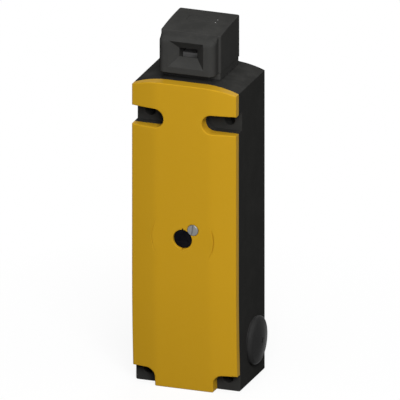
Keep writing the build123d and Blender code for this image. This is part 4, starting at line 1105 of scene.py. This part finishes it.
@dataclass
class Head:
    """Actuating head: upper block, front plate with the funnel, and the upper entry's plug."""

    half_width: float = 15.5
    front: float = -9.85
    back: float = 17.55
    low: float = 162.1
    high: float = 183.4
    corner: float = 1.0
    edge: float = 0.55
    top_radius: float = 188.0
    nose_half: float = 14.5
    nose_front: float = -17.15
    nose_corners: Point = (3.5, 0.6)
    nose_edges: Point = (3.0, 0.45)
    nose_change: float = 2.5
    funnel_half: float = 8.9
    funnel_low: float = 165.4
    funnel_high: float = 178.7
    funnel_depth: float = 4.0
    throat_half: float = 4.7
    throat_low: float = 169.8
    throat_high: float = 174.3
    throat_depth: float = 9.0
    sight_low: float = 166.2
    cam_y: float = 2.75
    cam_half: float = 6.0
    cam_room: float = 9.6
    cam_high: float = 178.6
    slot_half: float = 7.3
    slot_y: Point = (3.8, 8.8)
    slot_low: float = 177.5
    plug_gaps: Point = (0.45, 0.1)
    plug_low: float = 178.9
    plug_corner: float = 0.3
    plug_edge: float = 0.15
    pins: tuple[Point, Point] = ((7.8, 3.9), (7.8, 7.1))
    pin_radius: float = 0.3
    pin_length: float = 2.0
    pin_wall: float = 0.02
    pin_rise: float = 0.12

    def top(self, x: float, y: float) -> float:
        """Height of the head's falling top."""
        return self.high - self.top_radius + math.sqrt(self.top_radius ** 2 - (y - self.back) ** 2)

    def nose_edge(self, x: float, y: float) -> float:
        """Radius of the nose's upper edge: large at the front, small towards the block."""
        large, small = self.nose_edges
        share = min(1.0, max(0.0, (y - self.nose_front - self.nose_corners[0]) / self.nose_change))
        return large + (small - large) * share * share * (3 - 2 * share)

    def funnel(self) -> Mesh:
        """Cutter of the funnel and the tongue's throat behind it."""
        mouth = ((-PAST, 0.9), (0.0, 0.2), (0.2, 0.0))
        sections = [(y, self.funnel_half + more, self.funnel_low - more, self.funnel_high + more)
                    for y, more in mouth]
        sections += [(y, self.throat_half, self.throat_low, self.throat_high)
                     for y in (self.funnel_depth, self.throat_depth)]
        return lofted([(a * half, self.nose_front + y, high if b > 0 else low) for a, b in CORNERS]
                      for y, half, low, high in sections)

    def build(self, wardrobe: Wardrobe) -> None:
        """Makes the head's block, nose, slot plug and pins."""
        half, room = self.cam_half, self.cam_room
        ahead, back = self.front - PAST, self.cam_y
        outline = rounded_rectangle((-self.half_width, self.front), (self.half_width, self.back),
                                    (self.corner,) * 4, step=1.6)
        block = Slab(outline, self.top, level(self.low), level(self.edge), bottom_round=0.2,
                     spacing=1.8, facing=Facing.UP)
        wardrobe.piece(block, "head_block", "black_head", "head_housing", cutters=[
            bar((-half, back - room, self.low - PAST), (half, back + room, self.cam_high)),
            bar((-self.throat_half, ahead, self.throat_low), (self.throat_half, back, self.throat_high)),
            bar((-half, ahead, self.sight_low), (half, back, self.throat_high)),
            bar((-self.slot_half, self.slot_y[0], self.slot_low),
                (self.slot_half, self.slot_y[1], self.high + PAST))])

        front_corner, back_corner = self.nose_corners
        outline = rounded_rectangle((-self.nose_half, self.nose_front), (self.nose_half, self.front),
                                    (front_corner, front_corner, back_corner, back_corner), step=0.9)
        plate = Slab(outline, self.top, level(self.low), self.nose_edge, bottom_round=0.3, spacing=1.0,
                     facing=Facing.UP)
        behind = bar((-half, self.nose_front + self.funnel_depth + 0.5, self.sight_low),
                     (half, self.front + PAST, self.throat_high))
        wardrobe.piece(plate, "head_nose_plate", "black_head", "head_nose",
                       cutters=[self.funnel(), behind])

        front_gap, gap = self.plug_gaps
        outline = rounded_rectangle((gap - self.slot_half, self.slot_y[0] + front_gap),
                                    (self.slot_half - gap, self.slot_y[1] - gap),
                                    (self.plug_corner,) * 4, step=0.8)
        insert = Slab(outline, self.top, level(self.plug_low), level(self.plug_edge),
                      bottom_round=0.2, spacing=1.5, facing=Facing.UP)
        wardrobe.piece(insert, "upper_entry_plug", "black_head", "top_slot_plug")
        for number, (x, y) in enumerate(self.pins, 1):
            high, radius = self.top(x, y), self.pin_radius
            foot, crest = high - self.pin_length, high + self.pin_rise
            profile = [(0.0, foot), (radius, foot), (radius, high + self.pin_wall),
                       (radius - self.pin_rise, crest), (0.0, crest)]
            pin = lathe(profile, UPWARD, (x, y, 0.0), steps=24)
            wardrobe.piece(pin, f"entry_pin_{number}", "screw_steel")


@dataclass
class Release:
    """Auxiliary release disc and the slotted screw beside it."""

    shape: BodyShape
    disc_front: float = -20.6
    disc_thickness: float = 2.2
    disc_chamfer: float = 0.15
    disc_radius: float = 4.8
    shaft_radius: float = 2.5
    shaft_end: float = -10.9
    pin_radius: float = 1.8
    pin_end: float = -7.05
    key_radius: float = 3.6
    key_depth: float = 0.7
    screw_radius: float = 2.8
    screw_front: float = -21.75
    screw_seat: float = -20.75
    thread_radius: float = 1.5
    thread_root: float = 1.25
    thread_pitch: float = 0.5
    thread_end: float = -16.15
    thread_margin: float = 0.3
    tip_chamfer: float = 0.4
    slot: Point = (0.4, 4.0)  # half its width, half its length
    slot_depth: float = 0.55
    slot_lean: float = 8.0

    def disc(self, wardrobe: Wardrobe) -> None:
        """Makes the disc with its key socket and shaft."""
        (x, z), front = self.shape.release, self.disc_front
        radius, thick, shaft = self.disc_radius, self.disc_thickness, self.shaft_radius
        shoulder, end, chamfer = self.shaft_end - front, self.pin_end - front, self.disc_chamfer
        profile = [*turned_face(radius), (radius, thick - chamfer), (radius - chamfer, thick),
                   (shaft, thick), (shaft, shoulder), (self.pin_radius, shoulder),
                   (self.pin_radius, end), (0.0, end)]
        disc = lathe(profile, BACKWARD, (x, front, z))
        triangle = [(x + self.key_radius * math.cos(a), z + self.key_radius * math.sin(a))
                    for a in (math.pi / 2, math.pi * 7 / 6, math.pi * 11 / 6)]
        wardrobe.piece(disc, "release_disc", "black_release", "release_actuator", body="release",
                       cutters=[prism(triangle, front - PAST, front + self.key_depth)])

    def screw(self, wardrobe: Wardrobe) -> None:
        """Makes the cheese-head screw beside the disc."""
        (x, z), front, radius = self.shape.screw, self.screw_front, self.screw_radius
        seat, end = self.screw_seat - front, self.thread_end - front
        turns = int((end - seat - 2 * self.thread_margin) / self.thread_pitch)
        start = seat + self.thread_margin
        rings = thread(self.thread_root, self.thread_radius, start, self.thread_pitch, turns)
        profile = [*turned_face(radius), (radius, seat), (self.thread_radius, seat), *rings,
                   (self.thread_radius - self.tip_chamfer, end), (0.0, end)]
        screw = lathe(profile, BACKWARD, (x, front, z))
        slot = turned_rectangle((x, z), self.slot, -self.slot_lean)
        wardrobe.piece(screw, "slotted_screw", "screw_steel", "cover_screw",
                       cutters=[prism(slot, front - PAST, front + self.slot_depth)])

    def build(self, wardrobe: Wardrobe) -> None:
        """Makes both pieces."""
        self.disc(wardrobe)
        self.screw(wardrobe)


@dataclass
class EntryPlug:
    """Blanking plug of one side entry: domed head, rounded rim, key cross and hollow shank."""

    shape: BodyShape
    side: Side
    node: str
    seat: float = 27.6
    radius: float = 12.25
    rim: float = 2.5
    rim_round: float = 2.1
    dome: float = 1.3
    dome_power: float = 1.15
    shank_radius: float = 9.2
    shank_bore: float = 7.2
    shank_length: float = 7.1
    shank_chamfer: float = 0.6
    foot_chamfer: float = 0.25
    floor: float = 1.2
    cross: Point = (2.2, 0.35)  # half a bar's length, half its width
    cross_turns: Point = (20.0, 110.0)
    cross_depth: float = 0.5

    def profile(self) -> Loop:
        """Half section from the dome's middle to the floor of the shank's bore."""
        radius, length = self.shank_radius, self.shank_length
        inner = self.radius - self.rim_round
        shares = [i / 12 for i in range(13)]
        dome = [(inner * s, self.rim + self.dome * (1 - s ** 2) ** self.dome_power) for s in shares]
        rim = arc((inner, self.rim - self.rim_round), self.rim_round, 90.0, 0.0, 0.42)[1:]
        foot, chamfer = self.foot_chamfer, self.shank_chamfer
        return [*dome, *rim, (self.radius, foot), (self.radius - foot, 0.0), (radius, 0.0),
                (radius, chamfer - length), (radius - chamfer, -length), (self.shank_bore, -length),
                (self.shank_bore, -self.floor), (0.0, -self.floor)]

    def build(self, wardrobe: Wardrobe) -> None:
        """Makes the plug."""
        out = (float(self.side.value), 0.0, 0.0)
        at = (self.side.value * self.seat, *self.shape.entry)
        top = self.rim + self.dome
        plug = lathe(self.profile(), out, at, steps=128)
        bars = [turned_rectangle((0.0, 0.0), self.cross, turn) for turn in self.cross_turns]
        heights = (top - self.cross_depth, top + PAST)
        cross = [lofted([(x, y, z) for x, y in corners] for z in heights).turned(out, at)
                 for corners in bars]
        wardrobe.piece(plug, f"{self.node}_moulding", "gloss_plug", self.node, cutters=cross)


@dataclass
class Mechanism:
    """The CAD nodes that keep their own shape: seals, fasteners and the mechanism inside."""

    slots: dict[str, str] = field(default_factory=lambda: {
        "seal_rubber": "cover_gasket head_gasket plunger_seal release_seal plug_seals",
        "black_head": "head_base",
        "screw_steel": "head_screws frame_screws terminal_screws",
        "cam_zinc": "cam_wheel release_cam",
        "turned_steel": "cam_axle plunger armature lock_plate",
        "spring_wire": "plunger_clip",
        "guide_brass": "plunger_guide",
        "red_nylon": "plunger_arm tongue_contact_carrier",
        "frame_steel": "mechanism_frame carriage_guide",
        "soft_iron": "solenoid_yoke solenoid_core",
        "natural_nylon": "solenoid_bobbin armature_link lock_contact_carrier",
        "coil_wire": "solenoid_coil",
        "grey_nylon": "release_carriage tongue_contact_housing lock_contact_housing terminal_block",
        "contact_silver": "tongue_contact_bridge tongue_contact_bars lock_contact_bridge "
                          "lock_contact_bars terminal_clamps",
    })

    def build(self, wardrobe: Wardrobe, nodes: dict[str, Object]) -> None:
        """Dresses each node that no piece stands for.

        Args:
            wardrobe: Where the materials are.
            nodes: The frame's CAD nodes by name.
        """
        for slot, names in self.slots.items():
            for name in names.split():
                wardrobe.dress(nodes[name], slot)
                LOG.info("node %s keeps its shape, in %s", name, slot)


@dataclass(frozen=True)
class Spring:
    """Compression spring copied from its CAD node, which stays where the CAD put it.

    Attributes:
        node: Its CAD node.
        moving: The body at its moving end.
        seat: A point at its resting end, in millimetres.
        end: A point at its moving end, in millimetres.
    """

    node: str
    moving: str
    seat: Space
    end: Space

    def build(self, wardrobe: Wardrobe, nodes: dict[str, Object]) -> None:
        """Copies the CAD spring into a piece of its own and hides the CAD node.

        Args:
            wardrobe: Where the materials are.
            nodes: The frame's CAD nodes by name.
        """
        source = nodes[self.node]
        data = source.data.copy()
        data.transform(source.matrix_world)
        obj = linked(f"{self.node}_wire", data)
        wardrobe.dress(obj, "spring_wire")
        [c * MM for c in self.seat]
        [c * MM for c in self.end]
        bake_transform(obj)
        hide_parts(self.node)
        LOG.info("piece %s: from the body to %s", obj.name, self.moving)


SPRINGS: tuple[Spring, ...] = (
    Spring("plunger_spring", "plunger", (0.0, 2.75, 134.0), (0.0, 2.75, 147.0)),
    Spring("tongue_contact_spring", "plunger", (-10.5, 2.75, 39.0), (-10.5, 2.75, 44.0)),
    Spring("armature_spring", "armature", (-13.4, 5.55, 103.0), (6.0, 5.55, 103.0)),
    Spring("lock_contact_spring", "armature", (-13.4, 2.75, 81.0), (-3.4, 2.75, 81.0)),
    Spring("carriage_spring", "carriage", (0.0, -8.7, 58.0), (0.0, -8.7, 66.0)),
)


# Studio


@dataclass(frozen=True)
class Stand:
    """Where a lamp or the camera stands, pointing at the switch.

    Attributes:
        azimuth: Degrees round the switch from its front towards its right.
        elevation: Degrees above the horizon.
        distance: Millimetres from the target.
        target: The point that it is turned to, in millimetres.
    """

    azimuth: float
    elevation: float
    distance: float
    target: Space

    def hold(self, obj: Object) -> None:
        """Sets an object there and turns it to the target."""
        a, e = math.radians(self.azimuth), math.radians(self.elevation)
        towards = Vector((math.sin(a) * math.cos(e), -math.cos(a) * math.cos(e), math.sin(e)))
        obj.location = (Vector(self.target) + towards * self.distance) * MM
        obj.rotation_mode = "QUATERNION"
        obj.rotation_quaternion = (-towards).to_track_quat("-Z", "Y")


@dataclass(frozen=True)
class Lamp(Stand):
    """Square area lamp.

    Attributes:
        name: Its name.
        light: Brightness that it gives to a white face turned to it.
        size: Its side in millimetres.
    """

    distance: float = 1500.0
    target: Space = (0.0, 0.0, 90.0)
    name: str = "lamp"
    light: float = 1.0
    size: float = 700.0

    def build(self) -> None:
        """Makes the lamp."""
        data = bpy.data.lights.new(self.name, "AREA")
        data.shape = "SQUARE"
        data.size = self.size * MM
        data.energy = self.light * (math.pi * self.distance * MM) ** 2
        self.hold(linked(self.name, data))


@dataclass
class Studio:
    """Floor, backdrop, lamps and the camera at the photograph's angle."""

    view: Stand = Stand(20.0, 20.0, 900.0, (1.25, 0.0, 91.56))
    width: float = 194.65
    clips: Point = (0.01, 20.0)
    floor_size: float = 6000.0
    floor_fade: float = 0.88
    floor_bounce: float = 0.06
    fade_range: Point = (0.06, 0.20)
    surroundings: float = 0.03
    lamps: tuple[Lamp, ...] = (
        Lamp(28.0, 31.0, name="front", light=1.13), Lamp(10.0, 72.0, name="top", light=0.34),
        Lamp(185.0, 35.0, name="back", light=0.28))

    def camera(self) -> None:
        """Parallel camera that frames the switch as the photograph does."""
        data = bpy.data.cameras.new("camera")
        data.type = "ORTHO"
        data.ortho_scale = self.width * MM
        data.clip_start, data.clip_end = self.clips
        camera = linked("camera", data)
        self.view.hold(camera)
        bpy.context.scene.camera = camera

    def world(self) -> None:
        """Dim surroundings that the camera and reflections see as white."""
        world = bpy.data.worlds.new("studio")
        world.use_nodes = True
        bpy.context.scene.world = world
        shader = Shader(world.node_tree)
        colour = (1.0, 1.0, 1.0, 1.0)
        lit, white = [shader.node("ShaderNodeBackground", {"Color": colour, "Strength": strength})
                      for strength in (self.surroundings, 1.0)]
        mixed = shader.blend(shader.seen(), lit, white)
        shader.node("ShaderNodeOutputWorld", {"Surface": mixed})

    def floor(self) -> None:
        """Pale floor that fades to white away from the switch and keeps its shadow."""
        half = self.floor_size / 2
        mesh = Mesh()
        mesh.faces.append(mesh.ring((x * half, y * half, 0.0) for x, y in CORNERS))
        obj = mesh.build("floor")
        made = bpy.data.materials.new("pale_floor")
        made.use_nodes = True
        shader = Shader(made.node_tree)
        place = shader.node("ShaderNodeTexCoord").outputs["Object"]
        length = shader.node("ShaderNodeVectorMath", {0: place}, operation="LENGTH").outputs["Value"]
        far = shader.ramp(length, self.floor_fade, 1.0, self.fade_range)
        speck = shader.ramp(shader.noise(place, 900.0), 0.90, 0.94)
        seen = shader.seen()
        shade = shader.times(speck, shader.ramp(seen, self.floor_bounce, 1.0))
        inputs = {"Base Color": shader.grey(shade), "Roughness": 0.8}
        paper = shader.node("ShaderNodeBsdfPrincipled", inputs)
        white = shader.node("ShaderNodeEmission", {"Strength": 1.0})
        mixed = shader.blend(shader.times(seen, far), paper, white)
        shader.node("ShaderNodeOutputMaterial", {"Surface": mixed})
        obj.data.materials.append(made)

    def build(self) -> None:
        """Sets up the whole studio."""
        bpy.context.scene.view_settings.view_transform = "Standard"
        self.camera()
        self.world()
        for lamp in self.lamps:
            lamp.build()
        self.floor()


def main() -> None:
    """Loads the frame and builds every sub-assembly in order."""
    logging.basicConfig(level=logging.INFO, format="%(name)s: %(message)s")
    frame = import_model()
    Studio().build()
    wardrobe, shape = Wardrobe(), BodyShape()
    plugs = EntryPlug(shape, Side.RIGHT, "right_plug"), EntryPlug(shape, Side.LEFT, "left_plug")
    parts = (Housing(shape), Cover(shape), Head(), Release(shape), *plugs)
    for part in parts:
        part.build(wardrobe)
    for part in (Mechanism(), *SPRINGS):
        part.build(wardrobe, frame["nodes"])
    bpy.context.view_layer.update()


if __name__ == "__main__":
    main()
